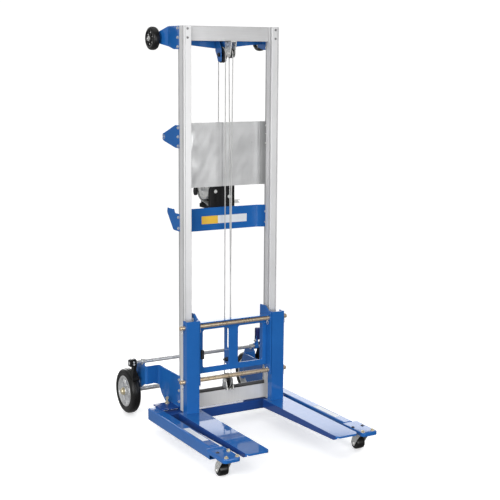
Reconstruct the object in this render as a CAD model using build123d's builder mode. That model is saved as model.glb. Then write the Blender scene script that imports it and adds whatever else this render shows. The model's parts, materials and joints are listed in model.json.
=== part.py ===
from build123d import *
import math
import os

os.makedirs("parts", exist_ok=True)

# ---------------------------------------------------------------- driving dimensions (mm)
# Depth y is measured from the front face of the inner mast rails, + to the rear.
# DEPTH_SHIFT puts the origin under the middle of the whole truck.
FORK_TIP_Y = -589.0
WHEEL_Y = 388.0
WHEEL_R = 100.0
DEPTH_SHIFT = -(FORK_TIP_Y + WHEEL_Y + WHEEL_R) / 2

MAST_TOP = 1700.0

# inner (moving) rails
RAIL_IN = 189.0
RAIL_OUT = 223.0
RAIL_DEPTH = 42.0
RAIL_BOTTOM = 92.0
BAR_BOTTOM, BAR_TOP, BAR_BACK = 98.0, 160.0, 170.0
CHANNEL_FRONT, CHANNEL_BACK, CHANNEL_OUT = 5.0, 18.0, 200.0
CAVITY_IN, CAVITY_OUT = 194.0, 218.0
CAVITY_FRONT, CAVITY_BACK = 21.5, 37.0
SLOT_IN, SLOT_OUT = 200.0, 214.0

# outer (fixed) rails
HEAD_IN, HEAD_OUT = 194.5, 217.5
HEAD_FRONT, HEAD_BACK = 22.0, 36.5
STEM_IN, STEM_OUT = 203.0, 211.0
STEM_BACK = 76.0
BEAM_TOP = 88.0

# side brackets
PLATE_T = 5.0
PLATE_IN = STEM_OUT
PLATE_OUT = STEM_OUT + PLATE_T
PLATE_FRONT = 45.0

# legs and casters
LEG_IN, LEG_OUT = 289.0, 336.0
LEG_BOTTOM, LEG_TOP = 42.0, 94.0
LEG_FRONT, LEG_BACK = -434.0, 124.0
LEG_WALL = 3.0
PAN_X = 317.0
PAN_HALF = 38.0
PAN_FRONT = -587.0
PAN_TOP, PAN_BOTTOM = 93.0, 77.0
PAN_T = 5.0
NUT_X = 313.0
NUT_DX, NUT_DY = 47.0, 69.0
SWIVEL_Y = -537.0
CASTER_TRAIL = 35.0
CASTER_R = 25.0

# rear wheels
AXLE_Z = 100.0
AXLE_R = 10.0
TYRE_IN, TYRE_OUT = 288.0, 333.0
RIM_R = 69.0
WING_X = 275.0
RUN = 0.05

# brake
BRAKE_Y, BRAKE_Z, BRAKE_R = 303.0, 250.0, 8.0
SHOE_GAP = 4.0

# wire rope
ROPE_R = 2.4
ROPE_A_Y = 119.5
ROPE_B_Y = 59.0
SHEAVE_GAP = 0.35
TOP_PULLEY_Z = 1585.0
TOP_PULLEY_Y = (ROPE_A_Y + ROPE_B_Y) / 2
TOP_PULLEY_R = (ROPE_A_Y - ROPE_B_Y) / 2
LOW_SHEAVE_R = 29.5
LOW_SHEAVE_Y = ROPE_B_Y - LOW_SHEAVE_R
LOW_SHEAVE_Z = 196.0
UP_SHEAVE_R = 16.0
UP_SHEAVE_Y = 13.0
UP_SHEAVE_Z = 1590.0
ROPE_D_Y = UP_SHEAVE_Y - UP_SHEAVE_R
ANCHOR_X, ANCHOR_Y, ANCHOR_Z = -8.0, 6.0, 298.0
EYE_R = ANCHOR_Y - ROPE_D_Y
FERRULE_TOP = 340.0

# winch
DRUM_R = 31.0
DRUM_Y = ROPE_A_Y + DRUM_R
DRUM_Z = 1023.0
FACE_BOTTOM = 850.0
SHELF_TOP = 947.0
MODULE = 1.6
GEAR_TEETH, PINION_TEETH = 60, 12
GEAR_X0, GEAR_X1 = -56.0, -36.0
TIE_Y, TIE_Z = 207.0, 1004.0
MESH_ANGLE = math.radians(56.25)
MESH_DIST = MODULE * (GEAR_TEETH + PINION_TEETH) / 2
DRIVE_Y = DRUM_Y + MESH_DIST * math.cos(MESH_ANGLE)
DRIVE_Z = DRUM_Z + MESH_DIST * math.sin(MESH_ANGLE)
DRUM_SHAFT_R = 8.0
DRIVE_R = 7.0
CRANK_R = 165.0

# forks and carriage
FORK_IN, FORK_OUT = 177.0, 236.0
FORK_FRONT, FORK_BACK = -46.0, -12.0
FORK_TOP = 494.0
BLADE_IN, BLADE_OUT = 155.0, 257.0
BLADE_TOP = 99.0
ROD_R = 9.0
ROD_Y = -26.0
ROD_HIGH, ROD_LOW = 466.0, 234.0
ROD_END = 258.0
CHEEK_IN, CHEEK_OUT = 170.0, 176.0


# ---------------------------------------------------------------- planes in the mast frame
def yz(x):
    """Sketch (y, z), extrudes toward +X."""
    return Plane(origin=(x, DEPTH_SHIFT, 0), x_dir=(0, 1, 0), z_dir=(1, 0, 0))


def xz(y):
    """Sketch (x, z), extrudes toward the front."""
    return Plane(origin=(0, y + DEPTH_SHIFT, 0), x_dir=(1, 0, 0), z_dir=(0, -1, 0))


def xy(z):
    """Sketch (x, y), extrudes upward."""
    return Plane(origin=(0, DEPTH_SHIFT, z), x_dir=(1, 0, 0), z_dir=(0, 0, 1))


def side(s, a, b):
    """Low edge and width of an x range mirrored to side s."""
    return (a, b - a) if s > 0 else (-b, b - a)


def outline(points):
    with BuildLine() as border:
        Polyline(*points, close=True)
    make_face(border.edges())


def slab(x0, x1, y0, y1, z0, z1, mode=Mode.ADD):
    with Locations(((x0 + x1) / 2, (y0 + y1) / 2 + DEPTH_SHIFT, (z0 + z1) / 2)):
        Box(x1 - x0, y1 - y0, z1 - z0, mode=mode)


def sslab(s, x0, x1, y0, y1, z0, z1, mode=Mode.ADD):
    lo, w = side(s, x0, x1)
    slab(lo, lo + w, y0, y1, z0, z1, mode)


def rod_x(x0, x1, y, z, r, mode=Mode.ADD):
    with BuildSketch(yz(x0)) as section:
        with Locations((y, z)):
            Circle(r)
    extrude(section.sketch, amount=x1 - x0, mode=mode)


def srod_x(s, x0, x1, y, z, r, mode=Mode.ADD):
    lo, w = side(s, x0, x1)
    rod_x(lo, lo + w, y, z, r, mode)


def plate_yz(s, x0, x1, points, mode=Mode.ADD):
    lo, w = side(s, x0, x1)
    with BuildSketch(yz(lo)) as section:
        outline(points)
    extrude(section.sketch, amount=w, mode=mode)


def sheave_profile(r_pitch, half, bore):
    """Half section of a grooved sheave, (radius, x)."""
    bottom = r_pitch - ROPE_R - SHEAVE_GAP
    rim = r_pitch + ROPE_R + 0.6
    return [
        (bore, -half),
        (rim - 1.0, -half),
        (rim, -half + 1.0),
        (rim, -half + 1.8),
        (bottom, -ROPE_R * 0.75),
        (bottom, ROPE_R * 0.75),
        (rim, half - 1.8),
        (rim, half - 1.0),
        (rim - 1.0, half),
        (bore, half),
    ]


def turned(profile, y, z):
    """Revolve an (r, x) profile about the x direction through (y, z)."""
    plane = Plane(origin=(0, y + DEPTH_SHIFT, z), x_dir=(0, 1, 0), z_dir=(0, 0, 1))
    with BuildSketch(plane) as section:
        outline([(r, -x) for r, x in profile])
    revolve(section.sketch, axis=Axis((0, y + DEPTH_SHIFT, z), (1, 0, 0)))


def tooth_points(teeth, phase, y, z):
    pitch_r = MODULE * teeth / 2
    tip = pitch_r + 0.8 * MODULE
    root = pitch_r - 1.25 * MODULE
    step = 2 * math.pi / teeth
    points = []
    for i in range(teeth):
        a = phase + i * step
        for r, f in ((root, -0.56), (pitch_r, -0.40), (tip, -0.18),
                     (tip, 0.18), (pitch_r, 0.40), (root, 0.56)):
            points.append((y + r * math.cos(a + f * step / 2), z + r * math.sin(a + f * step / 2)))
    return points


def save(part, label):
    part.label = label
    export_step(part, "parts/" + label + ".step")


SIDES = (("left", -1), ("right", 1))

# ================================================================ base
for word, s in SIDES:
    with BuildPart() as leg:
        sslab(s, LEG_IN, LEG_OUT, LEG_FRONT, LEG_BACK, LEG_BOTTOM, LEG_TOP)
        sslab(s, LEG_IN + LEG_WALL, LEG_OUT - LEG_WALL, LEG_FRONT - 1, LEG_BACK - LEG_WALL,
              LEG_BOTTOM + LEG_WALL, LEG_TOP - LEG_WALL, Mode.SUBTRACT)
    save(leg.part, word + "_leg")

    # pan with down-turned edges, a tongue in the leg tube and the swivel housing
    with BuildPart() as pan:
        c = s * PAN_X
        with BuildSketch(xy(PAN_BOTTOM)) as lip:
            with Locations((c, (PAN_FRONT + LEG_FRONT - 3) / 2)):
                Rectangle(2 * PAN_HALF, LEG_FRONT - 3 - PAN_FRONT)
            fillet(lip.vertices().group_by(Axis.Y)[0], 16)
            fillet(lip.vertices().group_by(Axis.Y)[-1], 5)
        extrude(amount=PAN_TOP - PAN_BOTTOM)
        with BuildSketch(xy(PAN_BOTTOM - 1)) as hollow:
            with Locations((c, (PAN_FRONT + LEG_FRONT - 3) / 2)):
                Rectangle(2 * PAN_HALF - 2 * PAN_T, LEG_FRONT - 3 - PAN_FRONT - 2 * PAN_T)
            fillet(hollow.vertices().group_by(Axis.Y)[0], 11)
        extrude(amount=PAN_TOP - PAN_BOTTOM - PAN_T + 1, mode=Mode.SUBTRACT)
        sslab(s, LEG_IN + LEG_WALL, LEG_OUT - LEG_WALL, LEG_FRONT - 8, LEG_FRONT + 40, 79, LEG_TOP - LEG_WALL)
        with BuildSketch(xy(75)):
            with Locations((c, SWIVEL_Y)):
                Circle(20)
        extrude(amount=PAN_TOP - 75)
        with BuildSketch(xy(74)):
            with Locations((c, SWIVEL_Y)):
                Circle(5 + RUN)
        extrude(amount=13, mode=Mode.SUBTRACT)
        with BuildSketch(xy(PAN_BOTTOM)):
            with Locations((s * NUT_X, SWIVEL_Y)):
                with GridLocations(NUT_DX, NUT_DY, 2, 2):
                    Circle(4)
        extrude(amount=20, mode=Mode.SUBTRACT)
    save(pan.part, word + "_caster_plate")

    # the wheel trails to the rear of its swivel
    with BuildPart() as cfork:
        wheel_y = SWIVEL_Y + CASTER_TRAIL
        with BuildSketch(xy(69)):
            with Locations((c, SWIVEL_Y + 5)):
                RectangleRounded(48, 46, 8)
        extrude(amount=5.7)
        with BuildSketch(xy(74)):
            with Locations((c, SWIVEL_Y)):
                Circle(5)
        extrude(amount=11)
        for x0 in (c - 24, c + 21.5):
            plate_yz(1, x0, x0 + 2.5, [(SWIVEL_Y - 12, 71), (SWIVEL_Y + 24, 71), (wheel_y + 10, 30),
                                       (wheel_y + 6, 15), (wheel_y - 6, 15), (wheel_y - 11, 28)])
        rod_x(c - 26, c + 26, wheel_y, CASTER_R, 4)
    save(cfork.part, word + "_caster_fork")

    with BuildPart() as cwheel:
        turned([(4 + RUN, c - 20.5), (11, c - 20.5), (11, c - 19), (CASTER_R - 4, c - 19), (CASTER_R, c - 15),
                (CASTER_R, c + 15), (CASTER_R - 4, c + 19), (11, c + 19), (11, c + 20.5), (4 + RUN, c + 20.5)],
               wheel_y, CASTER_R)
    save(cwheel.part, word + "_caster_wheel")

    # bent plate: mast side, jog outward, wing that holds the axle and the brake rod
    with BuildPart() as bracket:
        plate_yz(s, PLATE_IN, PLATE_OUT, [(PLATE_FRONT, BEAM_TOP), (PLATE_FRONT, 235), (272, 235), (272, 155),
                                          (243, 114), (206, BEAM_TOP)])
        sslab(s, PLATE_IN, 300, 62, 150, LEG_TOP, LEG_TOP + 6)
        sslab(s, PLATE_IN, WING_X + PLATE_T, 267, 272, 155, 235)
        plate_yz(s, WING_X, WING_X + PLATE_T,
                 [(267, 155), (267, 235), (282, 235), (288, 246), (318, 246), (324, 235),
                  (362, 231), (412, 128), (416, 92), (404, 76), (376, 74), (352, 108)])
        srod_x(s, WING_X, WING_X + PLATE_T, BRAKE_Y, BRAKE_Z, BRAKE_R + 3)
        srod_x(s, WING_X - 1, WING_X + PLATE_T + 1, WHEEL_Y, AXLE_Z, AXLE_R, Mode.SUBTRACT)
        srod_x(s, WING_X - 1, WING_X + PLATE_T + 1, BRAKE_Y, BRAKE_Z, BRAKE_R + RUN, Mode.SUBTRACT)
    save(bracket.part, word + "_base_bracket")

    # rounded solid tyre
    with BuildPart() as tyre:
        lo, w = side(s, TYRE_IN, TYRE_OUT)
        m = lo + w / 2
        h = w / 2
        turned([(RIM_R, m - h + 3), (RIM_R + 6, m - h), (WHEEL_R - 16, m - h), (WHEEL_R - 8, m - h + 2.5),
                (WHEEL_R - 3, m - h + 7), (WHEEL_R - 0.7, m - h + 13), (WHEEL_R, m - 4),
                (WHEEL_R, m + 4), (WHEEL_R - 0.7, m + h - 13), (WHEEL_R - 3, m + h - 7),
                (WHEEL_R - 8, m + h - 2.5), (WHEEL_R - 16, m + h), (RIM_R + 6, m + h), (RIM_R, m + h - 3)],
               WHEEL_Y, AXLE_Z)
    save(tyre.part, word + "_tyre")

    with BuildPart() as rim:
        turned([(AXLE_R + RUN, m - h), (20, m - h), (20, m - 6), (60, m - 6), (60, m - h + 4), (RIM_R, m - h + 3),
                (RIM_R, m + h - 3), (60, m + h - 4), (60, m + 6), (20, m + 6), (20, m + h), (AXLE_R + RUN, m + h)],
               WHEEL_Y, AXLE_Z)
        with BuildSketch(yz(m - 8)):
            with Locations((WHEEL_Y, AXLE_Z)):
                with PolarLocations(41, 5, 18):
                    RectangleRounded(22, 28, 7)
        extrude(amount=16, mode=Mode.SUBTRACT)
    save(rim.part, word + "_rim")

# channel between the legs, open to the rear
with BuildPart() as beam:
    slab(-LEG_IN, LEG_IN, 20, 80, 46, BEAM_TOP)
    slab(-LEG_IN - 1, LEG_IN + 1, 24, 81, 50, BEAM_TOP - 4, Mode.SUBTRACT)
save(beam.part, "base_crossbeam")

with BuildPart() as cbolts:
    with BuildSketch(xy(PAN_TOP)):
        for c in (-NUT_X, NUT_X):
            with Locations((c, SWIVEL_Y)):
                with GridLocations(NUT_DX, NUT_DY, 2, 2):
                    RegularPolygon(7, 6)
    extrude(amount=6)
    with BuildSketch(xy(PAN_TOP - PAN_T - 3)):
        for c in (-NUT_X, NUT_X):
            with Locations((c, SWIVEL_Y)):
                with GridLocations(NUT_DX, NUT_DY, 2, 2):
                    Circle(4)
    extrude(amount=PAN_T + 3)
save(cbolts.part, "caster_bolts")

with BuildPart() as axle:
    rod_x(-341, 341, WHEEL_Y, AXLE_Z, AXLE_R)
    for s in (-1, 1):
        srod_x(s, WING_X + PLATE_T, TYRE_IN - 0.5, WHEEL_Y, AXLE_Z, 14)
save(axle.part, "wheel_axle")

with BuildPart() as nuts:
    for s in (-1, 1):
        lo, w = side(s, TYRE_OUT + 0.5, 339)
        with BuildSketch(yz(lo)):
            with Locations((WHEEL_Y, AXLE_Z)):
                RegularPolygon(16, 6)
                Circle(AXLE_R, mode=Mode.SUBTRACT)
        extrude(amount=w)
save(nuts.part, "axle_nuts")

# ================================================================ brake
with BuildPart() as brod:
    rod_x(-345, 345, BRAKE_Y, BRAKE_Z, BRAKE_R)
save(brod.part, "brake_rod")

# each shoe is an arm on the rod with a curved pad in front of the tyre
SHOE_DIR = math.radians(128.5)
PAD_R = WHEEL_R + SHOE_GAP
with BuildPart() as shoes:
    for s in (-1, 1):
        lo, w = side(s, 294, 327)
        srod_x(s, 312, 342, BRAKE_Y, BRAKE_Z, 15)
        with BuildSketch(yz(lo)):
            def ring(r, a):
                return (WHEEL_Y + r * math.cos(SHOE_DIR + a), AXLE_Z + r * math.sin(SHOE_DIR + a))
            inner = [ring(PAD_R, math.radians(d)) for d in (-14, -9, -4.5, 0, 4.5, 9, 14)]
            outer = [ring(PAD_R + 12, math.radians(d)) for d in (12, 0, -12)]
            outline(inner + outer)
        extrude(amount=w)
        lo2, w2 = side(s, 312, 326)
        with BuildSketch(yz(lo2)):
            a0, a1 = ring(PAD_R + 8, math.radians(-7)), ring(PAD_R + 8, math.radians(7))
            outline([(BRAKE_Y + 10, BRAKE_Z - 4), (BRAKE_Y - 11, BRAKE_Z - 4), a1, a0])
        extrude(amount=w2)
    rod_x(-350, 350, BRAKE_Y, BRAKE_Z, BRAKE_R, Mode.SUBTRACT)
save(shoes.part, "brake_shoes")

with BuildPart() as pedal:
    rod_x(290, 308, BRAKE_Y, BRAKE_Z, 14)
    slab(297, 307, BRAKE_Y - 9, BRAKE_Y + 9, BRAKE_Z, 300)
    with BuildSketch(xy(280)):
        with Locations((312, BRAKE_Y)):
            RectangleRounded(30, 26, 8)
    extrude(amount=56)
    rod_x(288, 310, BRAKE_Y, BRAKE_Z, BRAKE_R, Mode.SUBTRACT)
save(pedal.part, "brake_pedal")

# ================================================================ outer mast
for word, s in SIDES:
    with BuildPart() as orail:
        sslab(s, HEAD_IN, HEAD_OUT, HEAD_FRONT, HEAD_BACK, BEAM_TOP, MAST_TOP)
        sslab(s, STEM_IN, STEM_OUT, HEAD_BACK - 1, STEM_BACK, BEAM_TOP, MAST_TOP)
    save(orail.part, word + "_outer_rail")

TOP_WHEEL_Y, TOP_WHEEL_Z, TOP_WHEEL_R = 219.0, 1650.0, 48.0
TOP_WHEEL_IN, TOP_WHEEL_OUT = 242.0, 274.0
TOP_BEND_Y = 158.0
TAIL_IN = 235.0
with BuildPart() as tbracket:
    for s in (-1, 1):
        # each side plate steps outward behind the mast
        with BuildPart(mode=Mode.PRIVATE) as flank:
            with BuildSketch(xy(1590)):
                outline([(s * x, y) for x, y in
                         [(PLATE_IN, PLATE_FRONT), (PLATE_OUT, PLATE_FRONT), (PLATE_OUT, TOP_BEND_Y - 1.5),
                          (TAIL_IN + PLATE_T, 198.5), (TAIL_IN + PLATE_T, 240), (TAIL_IN, 240), (TAIL_IN, 200),
                          (PLATE_IN, TOP_BEND_Y)]])
            extrude(amount=115)
            with BuildSketch(yz(-250)):
                outline([(PLATE_FRONT - 1, 1606), (PLATE_FRONT - 1, MAST_TOP), (TOP_BEND_Y, MAST_TOP), (200, 1678),
                         (226, 1671), (236, 1662), (241, 1650), (236, 1638), (226, 1630), (200, 1629),
                         (TOP_BEND_Y, 1617.6), (108, 1606)])
            extrude(amount=500, mode=Mode.INTERSECT)
        add(flank.part)
        srod_x(s, 231, 278, TOP_WHEEL_Y, TOP_WHEEL_Z, 6)
        srod_x(s, 229, TAIL_IN, TOP_WHEEL_Y, TOP_WHEEL_Z, 11)
        srod_x(s, TAIL_IN + PLATE_T, TOP_WHEEL_IN - 1, TOP_WHEEL_Y, TOP_WHEEL_Z, 11)
        srod_x(s, TOP_WHEEL_OUT + 1.2, TOP_WHEEL_OUT + 5, TOP_WHEEL_Y, TOP_WHEEL_Z, 10)
    with BuildSketch(xz(131)):
        outline([(-PLATE_IN - 1, 1630), (0, 1609), (PLATE_IN + 1, 1630), (PLATE_IN + 1, 1694), (-PLATE_IN - 1, 1694)])
    extrude(amount=5)
save(tbracket.part, "top_bracket")

for word, s in SIDES:
    with BuildPart() as twheel:
        lo, w = side(s, TOP_WHEEL_IN, TOP_WHEEL_OUT)
        m = lo + w / 2
        h = w / 2
        turned([(6 + RUN, m - h - 0.8), (18, m - h - 0.8), (18, m - h + 2), (34, m - h + 2), (34, m - h),
                (TOP_WHEEL_R - 5, m - h),
                (TOP_WHEEL_R - 1, m - h + 5), (TOP_WHEEL_R, m - h + 11), (TOP_WHEEL_R, m + h - 11),
                (TOP_WHEEL_R - 1, m + h - 5), (TOP_WHEEL_R - 5, m + h), (34, m + h), (34, m + h - 2),
                (18, m + h - 2), (18, m + h + 0.8), (6 + RUN, m + h + 0.8)], TOP_WHEEL_Y, TOP_WHEEL_Z)
    save(twheel.part, word + "_top_wheel")

HANDLE_Y, HANDLE_Z, HANDLE_R = 203.0, 1243.0, 10.0
with BuildPart() as lhb:
    plate_yz(-1, PLATE_IN, PLATE_OUT, [(PLATE_FRONT, 1204), (PLATE_FRONT, 1299), (95, 1299), (197, 1262), (210, 1258),
                                       (218, 1248), (218, 1238), (210, 1228), (197, 1224), (95, 1204)])
    srod_x(-1, PLATE_IN - 1, PLATE_OUT + 1, HANDLE_Y, HANDLE_Z, HANDLE_R, Mode.SUBTRACT)
save(lhb.part, "left_handle_bracket")

# the right plate reaches down to the crank bearing
with BuildPart() as rhb:
    plate_yz(1, PLATE_IN, PLATE_OUT, [(PLATE_FRONT, 1038), (PLATE_FRONT, 1299), (95, 1299), (197, 1262), (210, 1258),
                                      (218, 1248), (218, 1238), (210, 1228), (197, 1224), (118, 1206), (118, 1106),
                                      (170, 1094), (DRIVE_Y + 8, DRIVE_Z + 19), (DRIVE_Y + 19, DRIVE_Z + 8),
                                      (DRIVE_Y + 19, DRIVE_Z - 8), (DRIVE_Y + 8, DRIVE_Z - 19), (170, 1038)])
    srod_x(1, PLATE_IN - 1, PLATE_OUT + 1, HANDLE_Y, HANDLE_Z, HANDLE_R, Mode.SUBTRACT)
    srod_x(1, PLATE_IN - 1, PLATE_OUT + 1, DRIVE_Y, DRIVE_Z, DRIVE_R + RUN, Mode.SUBTRACT)
save(rhb.part, "right_handle_bracket")

with BuildPart() as handle:
    rod_x(-218, 218, HANDLE_Y, HANDLE_Z, HANDLE_R)
    rod_x(-219, 219, HANDLE_Y, HANDLE_Z, HANDLE_R - 2.5, Mode.SUBTRACT)
save(handle.part, "push_handle")

# formed plate with slanted ends, a shelf for the winch and a side plate outside each rail
FACE_Y = 78.0
with BuildPart() as cross:
    with BuildSketch(xy(FACE_BOTTOM)):
        outline([(-168, FACE_Y), (168, FACE_Y), (STEM_IN, 63), (STEM_IN, 68), (169, FACE_Y + 4.5),
                 (-169, FACE_Y + 4.5), (-STEM_IN, 68), (-STEM_IN, 63)])
    extrude(amount=SHELF_TOP - FACE_BOTTOM)
    slab(-72, 76, FACE_Y + 1, 122, SHELF_TOP - 4, SHELF_TOP)
    slab(-36, 76, 120, 228, SHELF_TOP - 4, SHELF_TOP)
    slab(-165, 165, FACE_Y + 1, 110, FACE_BOTTOM, FACE_BOTTOM + 4)
    for s in (-1, 1):
        # web behind the rail ties the face to the side plate
        sslab(s, 164, PLATE_OUT, FACE_Y, FACE_Y + 4.5, FACE_BOTTOM + 10, FACE_BOTTOM + 80)
    plate_yz(-1, PLATE_IN, PLATE_OUT, [(PLATE_FRONT, 858), (PLATE_FRONT, 932), (104, 932), (110, 935), (114, 942),
                                       (116, SHELF_TOP), (173, SHELF_TOP), (176, 927), (117, 858)])
    plate_yz(1, PLATE_IN, PLATE_OUT, [(PLATE_FRONT, 858), (PLATE_FRONT, 928), (108, 928), (117, 920), (117, 858)])
save(cross.part, "winch_crossmember")

# bent aluminium sheet: flat middle, slanted ends, tabs on the rail stems
SHEET_Y = 76.0
SHEET_T = 1.5
with BuildPart() as sheet:
    with BuildSketch(xy(1036)):
        outline([(-176, SHEET_Y), (176, SHEET_Y), (STEM_IN - SHEET_T, 64), (STEM_IN - SHEET_T, 59), (STEM_IN, 59),
                 (STEM_IN, 75), (STEM_IN - SHEET_T, 75), (STEM_IN - SHEET_T, 65.8), (176.5, SHEET_Y + SHEET_T),
                 (-176.5, SHEET_Y + SHEET_T), (-STEM_IN + SHEET_T, 65.8), (-STEM_IN + SHEET_T, 75), (-STEM_IN, 75),
                 (-STEM_IN, 59), (-STEM_IN + SHEET_T, 59), (-STEM_IN + SHEET_T, 64)])
    extrude(amount=270)
save(sheet.part, "guard_sheet")

BOLT_SPOTS = [(67, 1691), (67, 1653), (67, 1616), (67, 1288), (67, 1251), (67, 1213), (66, 917), (66, 871),
              (66, 218), (66, 170), (66, 122)]
with BuildPart() as bolts:
    for s in (-1, 1):
        lo, w = side(s, PLATE_OUT, PLATE_OUT + 4.5)
        with BuildSketch(yz(lo)):
            with Locations(*BOLT_SPOTS):
                RegularPolygon(6, 6)
        extrude(amount=w)
save(bolts.part, "bracket_bolts")

# ================================================================ winch
with BuildPart() as wframe:
    slab(-60, 64, 88, 120, SHELF_TOP, SHELF_TOP + 4)
    slab(-34, 64, 118, 218, SHELF_TOP, SHELF_TOP + 4)
    cheek = [(88, SHELF_TOP + 2), (88, 1021), (92, 1031), (102, 1039), (140, 1045), (160, 1063), (166, 1083),
             (176, 1091), (190, 1091), (200, 1083), (214, 1051), (216, SHELF_TOP + 2)]
    for x0 in (-34, 52):
        plate_yz(1, x0, x0 + 4, cheek)
    # front cover with rounded top corners
    with BuildSketch(xz(91.5)) as front:
        with Locations((2.5, (SHELF_TOP + 2 + 1044) / 2)):
            Rectangle(119, 1044 - SHELF_TOP - 2)
        fillet(front.vertices().group_by(Axis.Y)[-1], 14)
    extrude(front.sketch, amount=3.5)
    rod_x(-70, 70, DRUM_Y, DRUM_Z, DRUM_SHAFT_R + RUN, Mode.SUBTRACT)
    rod_x(-70, 70, DRIVE_Y, DRIVE_Z, DRIVE_R + RUN, Mode.SUBTRACT)
    rod_x(50, 57, 118, 997, 4, Mode.SUBTRACT)
    rod_x(50, 66.5, 118, 997, 4)
    # rear tie rod with a large end cap on the left
    rod_x(-60, 56, TIE_Y, TIE_Z, 5)
    turned([(0, -72), (15, -72), (18, -69), (18, -61), (16, -58.5), (0, -58.5)], TIE_Y, TIE_Z)
save(wframe.part, "winch_frame")

# drum with flanges, ratchet teeth on the right, shaft and left end nut
RATCHET_TEETH = 20
with BuildPart() as drum:
    core = DRUM_R - ROPE_R - 0.4
    turned([(0, -63), (12, -63), (12, GEAR_X0 - 0.2), (DRUM_SHAFT_R, GEAR_X0 - 0.2), (DRUM_SHAFT_R, -27), (47, -27), (47, -24),
            (core, -24), (core, 43), (47, 43), (47, 46), (DRUM_SHAFT_R, 46), (DRUM_SHAFT_R, 57.5),
            (18, 57.5), (18, 66), (0, 66)], DRUM_Y, DRUM_Z)
    pts = []
    for i in range(RATCHET_TEETH):
        a = 2 * math.pi * i / RATCHET_TEETH
        step = 2 * math.pi / RATCHET_TEETH
        pts.append((DRUM_Y + 27 * math.cos(a), DRUM_Z + 27 * math.sin(a)))
        pts.append((DRUM_Y + 23 * math.cos(a + 0.08 * step), DRUM_Z + 23 * math.sin(a + 0.08 * step)))
    with BuildSketch(yz(58)):
        outline(pts)
    extrude(amount=7)
save(drum.part, "winch_drum")

with BuildPart() as gear:
    with BuildSketch(yz(GEAR_X0)):
        outline(tooth_points(GEAR_TEETH, MESH_ANGLE, DRUM_Y, DRUM_Z))
        with Locations((DRUM_Y, DRUM_Z)):
            Circle(DRUM_SHAFT_R, mode=Mode.SUBTRACT)
    extrude(amount=GEAR_X1 - GEAR_X0)
    # deep recess on the left leaves a rim, a thin web and a hub
    with BuildSketch(yz(GEAR_X0 - 1)):
        with Locations((DRUM_Y, DRUM_Z)):
            Circle(43)
            Circle(15, mode=Mode.SUBTRACT)
    extrude(amount=18, mode=Mode.SUBTRACT)
save(gear.part, "winch_gear")

with BuildPart() as drive:
    rod_x(-63, 236, DRIVE_Y, DRIVE_Z, DRIVE_R)
    with BuildSketch(yz(GEAR_X0 - 1)):
        outline(tooth_points(PINION_TEETH, MESH_ANGLE + math.pi + math.pi / PINION_TEETH, DRIVE_Y, DRIVE_Z))
    extrude(amount=GEAR_X1 - GEAR_X0 + 2)
    rod_x(218, 225, DRIVE_Y, DRIVE_Z, 11)
save(drive.part, "drive_shaft")

with BuildPart() as arm:
    with BuildSketch(yz(226)):
        with Locations((DRIVE_Y, DRIVE_Z)):
            Circle(17)
        with Locations((DRIVE_Y, DRIVE_Z + CRANK_R)):
            Circle(13)
        outline([(DRIVE_Y - 14, DRIVE_Z), (DRIVE_Y + 14, DRIVE_Z), (DRIVE_Y + 11, DRIVE_Z + CRANK_R),
                 (DRIVE_Y - 11, DRIVE_Z + CRANK_R)])
    extrude(amount=8)
    rod_x(225, 235, DRIVE_Y, DRIVE_Z, DRIVE_R, Mode.SUBTRACT)
    rod_x(233, 322, DRIVE_Y, DRIVE_Z + CRANK_R, 5)
    rod_x(319.5, 323, DRIVE_Y, DRIVE_Z + CRANK_R, 9)
save(arm.part, "crank_arm")

with BuildPart() as grip:
    turned([(5 + RUN, 236), (12, 236), (14.5, 239), (14.5, 245), (13, 250), (12.5, 280), (14, 305), (14.5, 313),
            (12, 318.5), (5 + RUN, 318.5)], DRIVE_Y, DRIVE_Z + CRANK_R)
save(grip.part, "crank_grip")

# pawl rides just clear of the ratchet teeth, with a finger tab bent outward
with BuildPart() as pawl:
    PAWL_Y, PAWL_Z = 118.0, 997.0
    plate_yz(1, 58, 63, [(PAWL_Y - 8, PAWL_Z - 5), (PAWL_Y - 6, PAWL_Z + 7), (PAWL_Y + 2, PAWL_Z + 9), (PAWL_Y + 7.5, PAWL_Z + 12),
                         (PAWL_Y + 10, PAWL_Z + 9), (PAWL_Y + 8, PAWL_Z - 2), (PAWL_Y + 2, PAWL_Z - 9),
                         (PAWL_Y - 10, PAWL_Z - 28), (PAWL_Y - 20, PAWL_Z - 28)])
    slab(58, 94, PAWL_Y - 20, PAWL_Y - 8, PAWL_Z - 28, PAWL_Z - 24)
    rod_x(57, 64, PAWL_Y, PAWL_Z, 4 + RUN, Mode.SUBTRACT)
save(pawl.part, "ratchet_pawl")

# ================================================================ pulleys and rope
with BuildPart() as block:
    for x0 in (-13.0, 9.0):
        plate_yz(1, x0, x0 + 4, [(74, 1560), (80, 1556), (102, 1556), (112, 1580), (126, 1600), (126, 1662), (112, 1662), (74, 1608)])
    slab(-13, 13, 122, 126, 1640, 1662)
    rod_x(-17, 17, TOP_PULLEY_Y, TOP_PULLEY_Z, 5)
save(block.part, "top_pulley_block")

with BuildPart() as psheave:
    turned(sheave_profile(TOP_PULLEY_R, 6.5, 5 + RUN), TOP_PULLEY_Y, TOP_PULLEY_Z)
save(psheave.part, "top_pulley_sheave")

with BuildPart() as usheave:
    turned(sheave_profile(UP_SHEAVE_R, 6.5, 4 + RUN), UP_SHEAVE_Y, UP_SHEAVE_Z)
save(usheave.part, "upper_sheave")

with BuildPart() as lsheave:
    turned(sheave_profile(LOW_SHEAVE_R, 6.5, 5 + RUN), LOW_SHEAVE_Y, LOW_SHEAVE_Z)
save(lsheave.part, "lower_sheave")


def swept(name, build, plane=yz(0)):
    with BuildPart() as rope:
        with BuildLine(plane) as path:
            build()
        start = path.wires()[0]
        with BuildSketch(Plane(origin=start @ 0, z_dir=start % 0)):
            Circle(ROPE_R)
        sweep(path=start)
    save(rope.part, name)


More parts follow.
